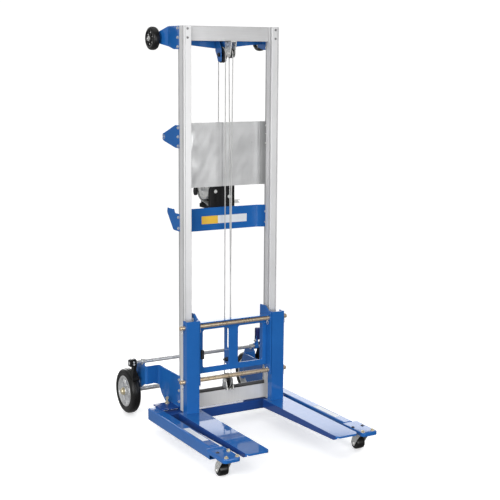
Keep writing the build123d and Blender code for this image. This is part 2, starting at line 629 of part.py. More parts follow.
def route_a():
    Line((ROPE_A_Y, DRUM_Z), (ROPE_A_Y, TOP_PULLEY_Z))
    CenterArc((TOP_PULLEY_Y, TOP_PULLEY_Z), TOP_PULLEY_R, 0, 180)


def route_b():
    Line((ROPE_B_Y, TOP_PULLEY_Z), (ROPE_B_Y, LOW_SHEAVE_Z))


# crossed tangent from the front of the lower sheave to the rear of the upper one
SPAN_Y, SPAN_Z = UP_SHEAVE_Y - LOW_SHEAVE_Y, UP_SHEAVE_Z - LOW_SHEAVE_Z
LEAN = math.degrees(math.asin((LOW_SHEAVE_R + UP_SHEAVE_R) / math.hypot(SPAN_Y, SPAN_Z))) + math.degrees(
    math.atan2(SPAN_Y, SPAN_Z))
LOW_TANGENT = 180 - LEAN
UP_TANGENT = -LEAN


def on_circle(y, z, r, deg):
    return (y + r * math.cos(math.radians(deg)), z + r * math.sin(math.radians(deg)))


def route_c():
    CenterArc((LOW_SHEAVE_Y, LOW_SHEAVE_Z), LOW_SHEAVE_R, 0, -(360 - LOW_TANGENT))
    Line(on_circle(LOW_SHEAVE_Y, LOW_SHEAVE_Z, LOW_SHEAVE_R, LOW_TANGENT),
         on_circle(UP_SHEAVE_Y, UP_SHEAVE_Z, UP_SHEAVE_R, UP_TANGENT))
    CenterArc((UP_SHEAVE_Y, UP_SHEAVE_Z), UP_SHEAVE_R, UP_TANGENT, 180 - UP_TANGENT)


def route_d():
    # leans a little to the left, toward the anchor stud
    Line((0, ROPE_D_Y, UP_SHEAVE_Z), (ANCHOR_X, ROPE_D_Y, FERRULE_TOP + 0.2))


swept("rope_a", route_a)
swept("rope_b", route_b)
swept("rope_c", route_c)
swept("rope_d", route_d, xy(0))

# rope end: pressed ferrule and an eye round the anchor stud
EYE_JOIN = (2.0, FERRULE_TOP - 22)
EYE_AIM = math.degrees(math.atan2(EYE_JOIN[1] - ANCHOR_Z, EYE_JOIN[0] - ANCHOR_Y))
EYE_OPEN = math.degrees(math.acos(EYE_R / math.hypot(EYE_JOIN[0] - ANCHOR_Y, EYE_JOIN[1] - ANCHOR_Z)))
with BuildPart() as rend:
    with BuildLine(yz(ANCHOR_X)) as eye:
        Line((ROPE_D_Y, EYE_JOIN[1]), (ROPE_D_Y, ANCHOR_Z))
        CenterArc((ANCHOR_Y, ANCHOR_Z), EYE_R, 180, 180 + EYE_AIM - EYE_OPEN)
        Line(on_circle(ANCHOR_Y, ANCHOR_Z, EYE_R, EYE_AIM - EYE_OPEN), EYE_JOIN)
    loop = eye.wires()[0]
    with BuildSketch(Plane(origin=loop @ 0, z_dir=loop % 0)):
        Circle(ROPE_R)
    sweep(path=loop)
    with BuildSketch(xy(FERRULE_TOP - 24)):
        with Locations((ANCHOR_X, (ROPE_D_Y + EYE_JOIN[0]) / 2)):
            RectangleRounded(6.6, 11.6, 3.2)
    extrude(amount=24)
save(rend.part, "rope_end")

# ================================================================ inner mast
for word, s in SIDES:
    with BuildPart() as irail:
        sslab(s, RAIL_IN, RAIL_OUT, 0, RAIL_DEPTH, RAIL_BOTTOM, MAST_TOP)
        sslab(s, RAIL_IN - 1, CHANNEL_OUT, CHANNEL_FRONT, CHANNEL_BACK, RAIL_BOTTOM - 1, MAST_TOP + 1, Mode.SUBTRACT)
        sslab(s, CHANNEL_OUT + 3.5, RAIL_OUT - 3.5, 4, 18, RAIL_BOTTOM - 1, MAST_TOP + 1, Mode.SUBTRACT)
        sslab(s, CAVITY_IN, CAVITY_OUT, CAVITY_FRONT, CAVITY_BACK, RAIL_BOTTOM - 1, MAST_TOP + 1, Mode.SUBTRACT)
        sslab(s, SLOT_IN, SLOT_OUT, CAVITY_BACK - 1, RAIL_DEPTH + 1, RAIL_BOTTOM - 1, MAST_TOP + 1, Mode.SUBTRACT)
    save(irail.part, word + "_inner_rail")

with BuildPart() as tbar:
    slab(-RAIL_IN, RAIL_IN, 28, 42, 1640, MAST_TOP)
    slab(-RAIL_IN - 1, RAIL_IN + 1, 32, 43, 1644, MAST_TOP - 4, Mode.SUBTRACT)
save(tbar.part, "inner_top_bar")

with BuildPart() as bbar:
    slab(-RAIL_IN, RAIL_IN, 18, 42, BAR_BOTTOM, BAR_BACK)
    slab(-RAIL_IN - 1, RAIL_IN + 1, 17, 38, BAR_TOP, BAR_BACK + 1, Mode.SUBTRACT)
    slab(-18, 18, 37, 43, BAR_TOP, BAR_BACK + 1, Mode.SUBTRACT)
    slab(-RAIL_IN - 1, RAIL_IN + 1, 22, 38, BAR_BOTTOM + 4, BAR_TOP + 1, Mode.SUBTRACT)
save(bbar.part, "inner_bottom_bar")

with BuildPart() as ubr:
    for x0 in (-13.0, 9.0):
        plate_yz(1, x0, x0 + 4, [(-14, 1640), (42, 1640), (40, 1606), (28, 1580), (20, 1574), (6, 1574), (-2, 1582), (-7, 1606)])
    slab(-13, 13, -14, 42, 1636, 1640)
    rod_x(-15, 15, UP_SHEAVE_Y, UP_SHEAVE_Z, 4)
save(ubr.part, "upper_sheave_bracket")

with BuildPart() as lbr:
    for x0 in (-17.0, 13.0):
        plate_yz(1, x0, x0 + 4, [(0, 160), (54, 160), (52, 166), (38, 206), (34, 211), (25, 211), (20, 206), (2, 166)])
    rod_x(-20, 20, LOW_SHEAVE_Y, LOW_SHEAVE_Z, 5)
    slab(-17, 17, 0, 54, 160, 163)
save(lbr.part, "lower_sheave_bracket")

# ================================================================ carriage
FACE_BACK = -6.5
FACE_FRONT = -12.0
with BuildPart() as carriage:
    with BuildSketch(xz(FACE_BACK)):
        outline([(-CHEEK_IN - 1, 256), (CHEEK_IN + 1, 256), (CHEEK_IN + 1, 480), (-CHEEK_IN - 1, 480)])
        with Locations((-80, 362.5)):
            RectangleRounded(126, 163, 10, mode=Mode.SUBTRACT)
        with Locations((88, 362.5)):
            RectangleRounded(122, 163, 10, mode=Mode.SUBTRACT)
    extrude(amount=FACE_BACK - FACE_FRONT)
    slab(-CHEEK_IN - 1, CHEEK_IN + 1, -38, FACE_BACK, 478, 482.5)
    for s in (-1, 1):
        plate_yz(s, CHEEK_IN, CHEEK_OUT, [(-42, 214), (-8, 214), (8, 247), (50, 247), (50, 508), (46, 514), (8, 514), (-19, 496), (-42, 490)])
    # upright rib behind the middle post with the stud that holds the rope end
    plate_yz(1, -17, -12, [(FACE_BACK - 1, 276), (FACE_BACK - 1, 446), (26, 446), (32, 438), (32, 300), (24, 276)])
    with BuildSketch(yz(-18)) as notch:
        with Locations((3, 392)):
            SlotOverall(90, 18, 90)
    extrude(notch.sketch, amount=7, mode=Mode.SUBTRACT)
    rod_x(-34, -5, ANCHOR_Y, ANCHOR_Z, 5)
    rod_x(-25, -17, ANCHOR_Y, ANCHOR_Z, 9)
    for z in (ROD_HIGH, ROD_LOW):
        rod_x(-200, 200, ROD_Y, z, ROD_R, Mode.SUBTRACT)
save(carriage.part, "carriage_frame")

for word, s in SIDES:
    with BuildPart() as fork:
        sslab(s, FORK_IN, FORK_OUT, FORK_FRONT, FORK_BACK, BLADE_TOP - 6, FORK_TOP)
        sslab(s, FORK_IN + 5, FORK_OUT - 5, FORK_FRONT + 5, FORK_BACK + 1, BLADE_TOP, FORK_TOP + 1, Mode.SUBTRACT)
        sslab(s, BLADE_IN, BLADE_OUT, FORK_TIP_Y, FORK_BACK, BLADE_TOP - 6, BLADE_TOP)
        for x0 in (BLADE_IN, BLADE_OUT - 5):
            plate_yz(s, x0, x0 + 5, [(FORK_TIP_Y, 91), (FORK_TIP_Y, BLADE_TOP - 2), (FORK_BACK, BLADE_TOP - 2), (FORK_BACK, 61),
                                      (FORK_TIP_Y + 28, 79)])
        sslab(s, BLADE_IN, BLADE_OUT, FORK_TIP_Y, FORK_TIP_Y + 5, 91, BLADE_TOP - 2)
        lo, w = side(s, BLADE_IN, BLADE_OUT)
        for cx, d in ((lo, 1), (lo + w, -1)):
            with BuildSketch(xy(70)):
                outline([(cx - d, FORK_TIP_Y - 1), (cx + 13 * d, FORK_TIP_Y - 1), (cx - d, FORK_TIP_Y + 14)])
            extrude(amount=40, mode=Mode.SUBTRACT)
        for z in (ROD_HIGH, ROD_LOW):
            srod_x(s, FORK_IN - 1, FORK_OUT + 1, ROD_Y, z, ROD_R, Mode.SUBTRACT)
    save(fork.part, word + "_fork")

PIN_SPOTS = [(-247.0, ROD_HIGH), (-247.0, ROD_LOW), (247.0, ROD_HIGH), (247.0, ROD_LOW),
             (-164.0, ROD_HIGH), (-164.0, ROD_LOW), (164.0, ROD_HIGH), (164.0, ROD_LOW)]
PIN_R = 3.0
with BuildPart() as rods:
    for z in (ROD_HIGH, ROD_LOW):
        rod_x(-ROD_END, ROD_END, ROD_Y, z, ROD_R)
    for x, z in PIN_SPOTS:
        with BuildSketch(xy(z - 20)):
            with Locations((x, ROD_Y)):
                Circle(PIN_R)
        extrude(amount=40, mode=Mode.SUBTRACT)
save(rods.part, "fork_rods")

with BuildPart() as pins:
    for x, z in PIN_SPOTS:
        with BuildSketch(xy(z - 15)):
            with Locations((x, ROD_Y)):
                Circle(PIN_R)
        extrude(amount=27)
save(pins.part, "hitch_pins")

with BuildPart() as glides:
    for s in (-1, 1):
        for z in (255.0, 455.0):
            sslab(s, CHEEK_OUT, 191, 8, 15, z + 10, z + 40)
            sslab(s, 190, 199.5, 5.5, 17.5, z, z + 50)
save(glides.part, "carriage_glides")
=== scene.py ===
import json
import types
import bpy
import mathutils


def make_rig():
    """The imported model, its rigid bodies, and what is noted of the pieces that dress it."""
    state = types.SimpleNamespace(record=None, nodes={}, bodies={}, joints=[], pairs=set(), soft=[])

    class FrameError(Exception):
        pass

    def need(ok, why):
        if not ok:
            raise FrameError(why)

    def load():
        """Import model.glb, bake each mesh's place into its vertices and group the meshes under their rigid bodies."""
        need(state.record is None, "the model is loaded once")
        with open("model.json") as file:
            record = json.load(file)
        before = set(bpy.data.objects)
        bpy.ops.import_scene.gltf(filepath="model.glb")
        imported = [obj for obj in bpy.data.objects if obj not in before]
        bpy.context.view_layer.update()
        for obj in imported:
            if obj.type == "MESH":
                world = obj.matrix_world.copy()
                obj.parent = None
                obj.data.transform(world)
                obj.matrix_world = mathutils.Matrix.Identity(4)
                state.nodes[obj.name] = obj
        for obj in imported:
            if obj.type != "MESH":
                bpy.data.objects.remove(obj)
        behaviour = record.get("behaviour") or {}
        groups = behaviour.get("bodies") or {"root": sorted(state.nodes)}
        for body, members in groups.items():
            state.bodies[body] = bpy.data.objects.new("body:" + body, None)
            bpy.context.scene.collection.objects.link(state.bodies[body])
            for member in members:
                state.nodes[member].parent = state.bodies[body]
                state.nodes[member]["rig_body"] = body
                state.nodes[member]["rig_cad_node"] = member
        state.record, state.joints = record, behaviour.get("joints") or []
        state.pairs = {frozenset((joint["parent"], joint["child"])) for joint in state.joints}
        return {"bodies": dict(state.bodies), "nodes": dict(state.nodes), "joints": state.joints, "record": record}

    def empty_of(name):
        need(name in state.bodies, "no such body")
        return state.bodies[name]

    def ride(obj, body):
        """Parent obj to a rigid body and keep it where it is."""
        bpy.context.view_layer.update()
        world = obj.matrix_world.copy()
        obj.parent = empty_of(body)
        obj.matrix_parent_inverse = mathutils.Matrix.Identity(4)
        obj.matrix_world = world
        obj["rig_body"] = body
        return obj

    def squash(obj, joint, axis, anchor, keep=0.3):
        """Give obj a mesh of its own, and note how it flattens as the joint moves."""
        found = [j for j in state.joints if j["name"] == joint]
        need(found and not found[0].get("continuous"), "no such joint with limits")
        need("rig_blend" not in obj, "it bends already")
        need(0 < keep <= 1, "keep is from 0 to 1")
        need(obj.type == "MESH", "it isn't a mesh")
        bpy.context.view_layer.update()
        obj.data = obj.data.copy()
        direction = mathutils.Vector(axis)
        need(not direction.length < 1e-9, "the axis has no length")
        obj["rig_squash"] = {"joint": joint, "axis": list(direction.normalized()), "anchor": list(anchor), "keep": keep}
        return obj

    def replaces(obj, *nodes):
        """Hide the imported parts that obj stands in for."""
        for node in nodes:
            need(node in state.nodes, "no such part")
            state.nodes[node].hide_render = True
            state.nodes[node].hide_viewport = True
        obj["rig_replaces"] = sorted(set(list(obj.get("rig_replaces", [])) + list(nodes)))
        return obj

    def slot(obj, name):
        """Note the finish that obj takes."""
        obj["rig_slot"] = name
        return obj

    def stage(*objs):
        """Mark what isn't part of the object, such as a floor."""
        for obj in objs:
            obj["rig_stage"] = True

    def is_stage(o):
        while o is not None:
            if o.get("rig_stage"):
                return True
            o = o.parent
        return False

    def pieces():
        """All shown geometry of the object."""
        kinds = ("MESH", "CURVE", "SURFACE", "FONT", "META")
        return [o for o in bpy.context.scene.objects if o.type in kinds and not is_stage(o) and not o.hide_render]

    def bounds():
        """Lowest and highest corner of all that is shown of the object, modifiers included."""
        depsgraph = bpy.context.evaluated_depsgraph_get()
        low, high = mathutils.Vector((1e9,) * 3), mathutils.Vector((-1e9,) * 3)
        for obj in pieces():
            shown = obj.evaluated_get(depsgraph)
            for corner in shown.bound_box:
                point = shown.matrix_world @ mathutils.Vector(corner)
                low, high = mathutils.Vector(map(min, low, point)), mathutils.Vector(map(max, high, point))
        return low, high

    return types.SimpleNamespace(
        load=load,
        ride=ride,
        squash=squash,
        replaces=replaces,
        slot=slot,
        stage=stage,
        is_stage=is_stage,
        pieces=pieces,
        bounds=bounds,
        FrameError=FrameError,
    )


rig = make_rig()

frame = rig.load()

import json
import math

import bmesh
import bpy
from mathutils import Matrix, Vector, noise
from mathutils.geometry import delaunay_2d_cdt

CAD_BOX = [list(c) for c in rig.bounds()]
NODES = frame["nodes"]
SHIFT = 50.5          # mast frame depth to model depth, mm
SIDES = (("left", -1), ("right", 1))
scene = bpy.context.scene


# ------------------------------------------------------------------ outline helpers (mm)
def clean(points):
    out = []
    for p in points:
        p = (float(p[0]), float(p[1]))
        if not out or math.hypot(p[0] - out[-1][0], p[1] - out[-1][1]) > 1e-3:
            out.append(p)
    while len(out) > 2 and math.hypot(out[0][0] - out[-1][0], out[0][1] - out[-1][1]) <= 1e-3:
        out.pop()
    return out


def signed(points):
    return sum(points[i - 1][0] * points[i][1] - points[i][0] * points[i - 1][1] for i in range(len(points))) / 2


def fillet(points, r, seg=4, closed=True):
    """Round the corners of a polyline. A point may carry its own radius as a third number."""
    out = []
    n = len(points)
    for i in range(n):
        p = points[i]
        rr = p[2] if len(p) > 2 else r
        b = Vector((p[0], p[1]))
        if rr <= 0 or (not closed and i in (0, n - 1)):
            out.append((b.x, b.y))
            continue
        a = Vector(points[i - 1][:2]) - b
        c = Vector(points[(i + 1) % n][:2]) - b
        la, lc = a.length, c.length
        if la < 1e-6 or lc < 1e-6:
            continue
        a /= la
        c /= lc
        ang = math.acos(max(-1.0, min(1.0, a.dot(c))))
        if ang > math.radians(175):
            out.append((b.x, b.y))
            continue
        t = min(rr / math.tan(ang / 2), la * 0.49, lc * 0.49)
        re = t * math.tan(ang / 2)
        cen = b + (a + c).normalized() * (re / math.sin(ang / 2))
        p1, p2 = b + a * t - cen, b + c * t - cen
        a1 = math.atan2(p1.y, p1.x)
        d = math.atan2(p2.y, p2.x) - a1
        while d > math.pi:
            d -= 2 * math.pi
        while d < -math.pi:
            d += 2 * math.pi
        k = max(1, int(math.ceil(seg * abs(d) / (math.pi / 2))))
        for j in range(k + 1):
            w = a1 + d * j / k
            out.append((cen.x + re * math.cos(w), cen.y + re * math.sin(w)))
    return out


def inset(points, d):
    n = len(points)
    out = []
    for i in range(n):
        p = Vector(points[i])
        e1 = (p - Vector(points[i - 1])).normalized()
        e2 = (Vector(points[(i + 1) % n]) - p).normalized()
        n1, n2 = Vector((-e1.y, e1.x)), Vector((-e2.y, e2.x))
        q = p + (n1 + n2) * (d / max(0.3, 1 + n1.dot(n2)))
        out.append((q.x, q.y))
    return out


def circle(cx, cy, r, n=32, phase=0.0):
    return [(cx + r * math.cos(phase + 2 * math.pi * i / n), cy + r * math.sin(phase + 2 * math.pi * i / n)) for i in range(n)]


def rect(x0, x1, y0, y1, r=0.0, seg=4):
    return fillet([(x0, y0), (x1, y0), (x1, y1), (x0, y1)], r, seg)


def inside(pt, loop):
    x, y = pt
    hit = False
    for i in range(len(loop)):
        x1, y1 = loop[i - 1]
        x2, y2 = loop[i]
        if (y1 > y) != (y2 > y) and x < (x2 - x1) * (y - y1) / (y2 - y1) + x1:
            hit = not hit
    return hit


# ------------------------------------------------------------------ meshes in mm, mast frame
class Geo:
    def __init__(self):
        self.v, self.f, self.m = [], [], []

    def face(self, ids, mat=0):
        self.f.append(tuple(ids))
        self.m.append(mat)

    def map(self, fn):
        self.v = [Vector(fn(*p)) for p in self.v]
        return self

    def move(self, x=0, y=0, z=0):
        return self.map(lambda a, b, c: (a + x, b + y, c + z))

    def paint(self, mat):
        self.m = [mat] * len(self.f)
        return self

    def copy(self):
        g = Geo()
        g.v, g.f, g.m = [p.copy() for p in self.v], list(self.f), list(self.m)
        return g

    def mirror(self):
        g = self.copy()
        return g.map(lambda a, b, c: (-a, b, c))

    def on(self, s):
        return self if s > 0 else self.mirror()

    def __iadd__(self, other):
        base = len(self.v)
        self.v += other.v
        self.f += [tuple(i + base for i in f) for f in other.f]
        self.m += other.m
        return self

    def __add__(self, other):
        g = self.copy()
        g += other
        return g


def loft(outline, steps, holes=(), mat=0):
    """Closed body from one outline (and holes) carried through (inset, w) steps, capped at both ends."""
    g = Geo()
    loops = []
    o = clean(outline)
    if signed(o) < 0:
        o.reverse()
    loops.append(o)
    for h in holes:
        h = clean(h)
        if signed(h) > 0:
            h.reverse()
        loops.append(h)
    ends = ([], [])
    for loop in loops:
        n = len(loop)
        base = len(g.v)
        for d, w in steps:
            g.v += [Vector((p[0], p[1], w)) for p in (inset(loop, d) if abs(d) > 1e-9 else loop)]
        for s in range(len(steps) - 1):
            for i in range(n):
                j = (i + 1) % n
                g.face((base + s * n + i, base + s * n + j, base + (s + 1) * n + j, base + (s + 1) * n + i), mat)
        ends[0].append([base + i for i in range(n)])
        ends[1].append([base + (len(steps) - 1) * n + i for i in range(n)])
    for k, loops_k in enumerate(ends):
        ids = [i for loop in loops_k for i in loop]
        pts = [Vector((g.v[i].x, g.v[i].y)) for i in ids]
        flat = [[(g.v[i].x, g.v[i].y) for i in loop] for loop in loops_k]
        edges, at = [], 0
        for loop in loops_k:
            edges += [(at + i, at + (i + 1) % len(loop)) for i in range(len(loop))]
            at += len(loop)
        _, _, faces, origin, _, _ = delaunay_2d_cdt(pts, edges, [], 0, 1e-6)
        left = sum(signed(loop) for loop in flat)
        for f in faces:
            tri = [origin[i][0] for i in f if origin[i]]
            if len(tri) != 3:
                continue
            c = (sum(pts[i].x for i in tri) / 3, sum(pts[i].y for i in tri) / 3)
            if sum(inside(c, loop) for loop in flat) % 2 == 0:
                continue
            left -= abs(signed([pts[i] for i in tri]))
            tri = [ids[i] for i in tri]
            g.face(tri if k else tri[::-1], mat)
        if abs(left) > 0.02 * abs(sum(signed(loop) for loop in flat)):
            raise ValueError("open cap near %s" % (flat[0][0],))
    return g


def rounded(w0, w1, b, seg):
    b = min(b, 0.48 * (w1 - w0))
    low = [(b * (1 - math.sin(math.pi / 2 * j / seg)), w0 + b * (1 - math.cos(math.pi / 2 * j / seg))) for j in range(seg + 1)]
    return low + [(d, w1 - (w - w0)) for d, w in reversed(low)]


def plate(outline, w0, w1, holes=(), b=0.8, seg=3, mat=0):
    # a corner tighter than the edge rounding folds the cap, so the rounding gives way
    for k in (1.0, 0.65, 0.4, 0.2, 0.08):
        try:
            return loft(outline, rounded(w0, w1, b * k, seg), holes, mat)
        except ValueError:
            continue
    raise ValueError("no closed cap for this outline")


def plate_x(outline, x0, x1, holes=(), b=0.8, seg=3, mat=0):
    return plate(outline, x0, x1, holes, b, seg, mat).map(lambda u, v, w: (w, u, v))


def plate_y(outline, y0, y1, holes=(), b=0.8, seg=3, mat=0):
    return plate(outline, y0, y1, holes, b, seg, mat).map(lambda u, v, w: (u, w, v))


def plate_z(outline, z0, z1, holes=(), b=0.8, seg=3, mat=0):
    return plate(outline, z0, z1, holes, b, seg, mat)


AXES = {
    "x": lambda t, c, s, x, y, z: (x + t, y + c, z + s),
    "y": lambda t, c, s, x, y, z: (x + c, y + t, z + s),
    "z": lambda t, c, s, x, y, z: (x + c, y + s, z + t),
}


def lathe(profile, x=0, y=0, z=0, axis="x", seg=48, r=0.6, mat=0, rseg=3):
    """Turned body from a closed (radius, along) profile with rounded corners."""
    pts = fillet([(t, rad, r if rad > 1e-6 else 0) if len(q) == 0 else (t, rad, q[0]) for rad, t, *q in profile], r, rseg)
    g = Geo()
    put = AXES[axis]
    rings = []
    for t, rad in pts:
        if rad < 1e-5:
            rings.append([len(g.v)])
            g.v.append(Vector(put(t, 0, 0, x, y, z)))
        else:
            rings.append(list(range(len(g.v), len(g.v) + seg)))
            g.v += [Vector(put(t, rad * math.cos(2 * math.pi * i / seg), rad * math.sin(2 * math.pi * i / seg), x, y, z)) for i in range(seg)]
    for k in range(len(rings)):
        a, b = rings[k - 1], rings[k]
        if len(a) == 1 and len(b) == 1:
            continue
        for i in range(seg):
            j = (i + 1) % seg
            if len(a) == 1:
                g.face((a[0], b[i], b[j]), mat)
            elif len(b) == 1:
                g.face((a[i], b[0], a[j]), mat)
            else:
                g.face((a[i], b[i], b[j], a[j]), mat)
    return g


def rod(x0, x1, y, z, r, ch=1.0, seg=32, mat=0, axis="x", x=0):
    """Round bar with chamfered ends along an axis."""
    if axis == "x":
        return lathe([(0, x0), (r - ch, x0), (r, x0 + ch), (r, x1 - ch), (r - ch, x1), (0, x1)], 0, y, z, "x", seg, 0.2, mat, 2)
    if axis == "z":
        return lathe([(0, x0), (r - ch, x0), (r, x0 + ch), (r, x1 - ch), (r - ch, x1), (0, x1)], x, y, 0, "z", seg, 0.2, mat, 2)
    return lathe([(0, x0), (r - ch, x0), (r, x0 + ch), (r, x1 - ch), (r - ch, x1), (0, x1)], x, 0, z, "y", seg, 0.2, mat, 2)


def hexa(r, t0, t1, x=0, y=0, z=0, axis="x", bore=0.0, both=False, phase=0.0, mat=0, dish=0.0):
    """Hexagon head or nut with turned chamfers. r is the corner radius."""
    g = Geo()
    put = AXES[axis]
    n = 36
    flat = r * math.cos(math.pi / 6)
    rc = flat * 0.985
    d = 1 if t1 > t0 else -1

    def hexr(i):
        a = (2 * math.pi * i / n) % (math.pi / 3) - math.pi / 6
        return flat / math.cos(a)

    rings = []

    def ring(fn):
        ids = []
        for i in range(n):
            rad, t = fn(i)
            a = phase + 2 * math.pi * i / n
            ids.append(len(g.v))
            g.v.append(Vector(put(t, rad * math.cos(a), rad * math.sin(a), x, y, z)))
        rings.append(ids)

    def drop(i):
        return max(0.0, hexr(i) - rc) * 0.577

    if bore > 0:
        ring(lambda i: (bore, t0))
    if both:
        ring(lambda i: (min(hexr(i), rc), t0))
        ring(lambda i: (hexr(i), t0 + d * drop(i)))
    else:
        ring(lambda i: (hexr(i), t0))
    ring(lambda i: (hexr(i), t1 - d * (drop(i) + 0.02)))
    ring(lambda i: (min(hexr(i), rc) - 0.01, t1))
    if bore > 0:
        ring(lambda i: (bore + 0.4, t1))
        ring(lambda i: (bore, t1 - d * 0.4))
    elif dish > 0:
        ring(lambda i: (rc * 0.72, t1))
        ring(lambda i: (rc * 0.66, t1 - d * dish))
    for k in range(len(rings) - 1):
        for i in range(n):
            j = (i + 1) % n
            g.face((rings[k][i], rings[k][j], rings[k + 1][j], rings[k + 1][i]), mat)
    if bore > 0:
        for i in range(n):
            j = (i + 1) % n
            g.face((rings[-1][i], rings[-1][j], rings[0][j], rings[0][i]), mat)
    else:
        for k, end in ((rings[0], t0), (rings[-1], t1 - d * dish)):
            c = len(g.v)
            g.v.append(Vector(put(end, 0, 0, x, y, z)))
            for i in range(n):
                g.face((k[i], k[(i + 1) % n], c), mat)
    return g


def washer(r_in, r_out, t0, t1, x=0, y=0, z=0, axis="x", mat=0):
    lo, hi = min(t0, t1), max(t0, t1)
    return lathe([(r_in, lo), (r_out, lo), (r_out, hi), (r_in, hi)], x, y, z, axis, 36, 0.25, mat, 2)


def dome(r, t0, h, x=0, y=0, z=0, axis="x", mat=0, socket=0.0):
    """Low rounded screw head rising by h (either way) from t0, with a round recess if asked for."""
    pts = [(0, t0), (r, t0), (r, t0 + 0.25 * h), (0.86 * r, t0 + 0.72 * h), (0.55 * r, t0 + h)]
    if socket > 0:
        pts += [(socket, t0 + h), (socket * 0.9, t0 + 0.35 * h), (0, t0 + 0.35 * h)]
    else:
        pts += [(0, t0 + h)]
    return lathe(pts, x, y, z, axis, 32, 0.3, mat, 2)


def stud(r, t0, t1, x=0, y=0, z=0, axis="x", pitch=1.25, mat=0):
    """Threaded end as a stack of rounded ridges."""
    lo, hi = min(t0, t1), max(t0, t1)
    n = max(2, int((hi - lo) / pitch))
    step = (hi - lo) / n
    pts = [(0, lo)]
    for i in range(n):
        pts += [(r * 0.88, lo + (i + 0.05) * step), (r, lo + (i + 0.5) * step), (r * 0.88, lo + (i + 0.95) * step)]
    pts += [(r * 0.7, hi), (0, hi)]
    return lathe(pts, x, y, z, axis, 24, 0.0, mat)


def resample(points, spacing, closed=False):
    pts = [Vector(p) for p in points]
    if closed:
        pts.append(pts[0].copy())
    run = [0.0]
    for i in range(1, len(pts)):
        run.append(run[-1] + (pts[i] - pts[i - 1]).length)
    n = max(2, int(round(run[-1] / spacing)))
    out, k = [], 0
    for j in range(n + (0 if closed else 1)):
        d = run[-1] * j / n
        while k < len(run) - 2 and run[k + 1] < d:
            k += 1
        f = 0 if run[k + 1] == run[k] else (d - run[k]) / (run[k + 1] - run[k])
        out.append(pts[k].lerp(pts[k + 1], f))
    return out


def sweep(path, section, closed=False, mat=0):
    """Carry section(k, distance) -> [(a, b)...] along a path with turning frames."""
    g = Geo()
    n = len(path)
    tang = []
    for i in range(n):
        if closed:
            t = path[(i + 1) % n] - path[i - 1]
        else:
            t = path[min(i + 1, n - 1)] - path[max(i - 1, 0)]
        tang.append(t.normalized())
    ref = Vector((1, 0, 0)) if abs(tang[0].x) < 0.9 else Vector((0, 1, 0))
    nor = (ref - tang[0] * ref.dot(tang[0])).normalized()
    dist = 0.0
    rings = []
    for i in range(n):
        if i:
            dist += (path[i] - path[i - 1]).length
            nor = (nor - tang[i] * nor.dot(tang[i])).normalized()
        bi = tang[i].cross(nor)
        ids = []
        for a, b in section(i, dist):
            ids.append(len(g.v))
            g.v.append(path[i] + nor * a + bi * b)
        rings.append(ids)
    m = len(rings[0])
    for k in range(n if closed else n - 1):
        a, b = rings[k], rings[(k + 1) % n]
        for i in range(m):
            j = (i + 1) % m
            g.face((a[i], a[j], b[j], b[i]), mat)
    if not closed:
        g.face(rings[0][::-1], mat)
        g.face(rings[-1], mat)
    return g


def wire(points, r, spacing=1.5, n=10, closed=False, mat=0):
    ring = [(r * math.cos(2 * math.pi * i / n), r * math.sin(2 * math.pi * i / n)) for i in range(n)]
    return sweep(resample(points, spacing, closed), lambda k, d: ring, closed, mat)


def strand_radius(a, r):
    """Outline of six round strands laid round a core."""
    d, rs = r * 2 / 3, r / 3
    a = (a % (math.pi / 3)) - math.pi / 6
    return d * math.cos(a) + math.sqrt(max(0.0, rs * rs - (d * math.sin(a)) ** 2))


def rope(points, r=2.4, pitch=19.0, spacing=1.9, mat=0):
    m = 30

    def section(k, dist):
        turn = 2 * math.pi * dist / pitch
        out = []
        for i in range(m):
            a = 2 * math.pi * i / m
            rad = strand_radius(a, r)
            out.append((rad * math.cos(a + turn), rad * math.sin(a + turn)))
        return out

    return sweep(resample(points, spacing), section, False, mat)


class Bend:
    """Centre line of a bent sheet in plan: distance along it to point and side direction."""

    def __init__(self, points, r, seg=8):
        self.p = [Vector(q) for q in clean(fillet(points, r, seg, closed=False))]
        self.run = [0.0]
        for i in range(1, len(self.p)):
            self.run.append(self.run[-1] + (self.p[i] - self.p[i - 1]).length)

    def at(self, x, y):
        q = Vector((x, y))
        best = (1e9, 0)
        for i in range(len(self.p) - 1):
            d = self.p[i + 1] - self.p[i]
            f = max(0.0, min(1.0, (q - self.p[i]).dot(d) / d.length_squared))
            gap = (self.p[i] + d * f - q).length
            if gap < best[0] - 1e-9:
                best = (gap, self.run[i] + f * d.length)
        return best[1]

    def place(self, u, v, w):
        k = 0
        while k < len(self.p) - 2 and self.run[k + 1] < u - 1e-6:
            k += 1
        d = (self.p[k + 1] - self.p[k]).normalized()
        q = self.p[k] + d * (u - self.run[k])
        nrm = Vector((-d.y, d.x))
        # the side direction turns smoothly at the joints between short runs
        for e, near in ((k, u - self.run[k]), (k + 1, self.run[k + 1] - u)):
            if abs(near) < 1e-4 and 0 < e < len(self.p) - 1:
                d0 = (self.p[e] - self.p[e - 1]).normalized()
                d1 = (self.p[e + 1] - self.p[e]).normalized()
                s = d0 + d1
                nrm = Vector((-s.y, s.x)).normalized() / max(0.5, math.cos(d0.angle(d1) / 2))
        q = q + nrm * w
        return (q.x, q.y, v)


def bent(outline, bend, t, holes=(), b=0.8, seg=3, mat=0, extra=()):
    flat = plate(outline, -t / 2, t / 2, holes, b, seg, mat)
    bm = bmesh.new()
    vs = [bm.verts.new(p) for p in flat.v]
    for f in flat.f:
        bm.faces.new([vs[i] for i in f])
    for c in list(bend.run[1:-1]) + list(extra):
        geom = list(bm.verts) + list(bm.edges) + list(bm.faces)
        bmesh.ops.bisect_plane(bm, geom=geom, dist=1e-4, plane_co=(c, 0, 0), plane_no=(1, 0, 0))
    bm.verts.index_update()
    g = Geo()
    g.v = [Vector(bend.place(*p.co)) for p in bm.verts]
    for f in bm.faces:
        g.face([p.index for p in f.verts], mat)
    bm.free()
    return g


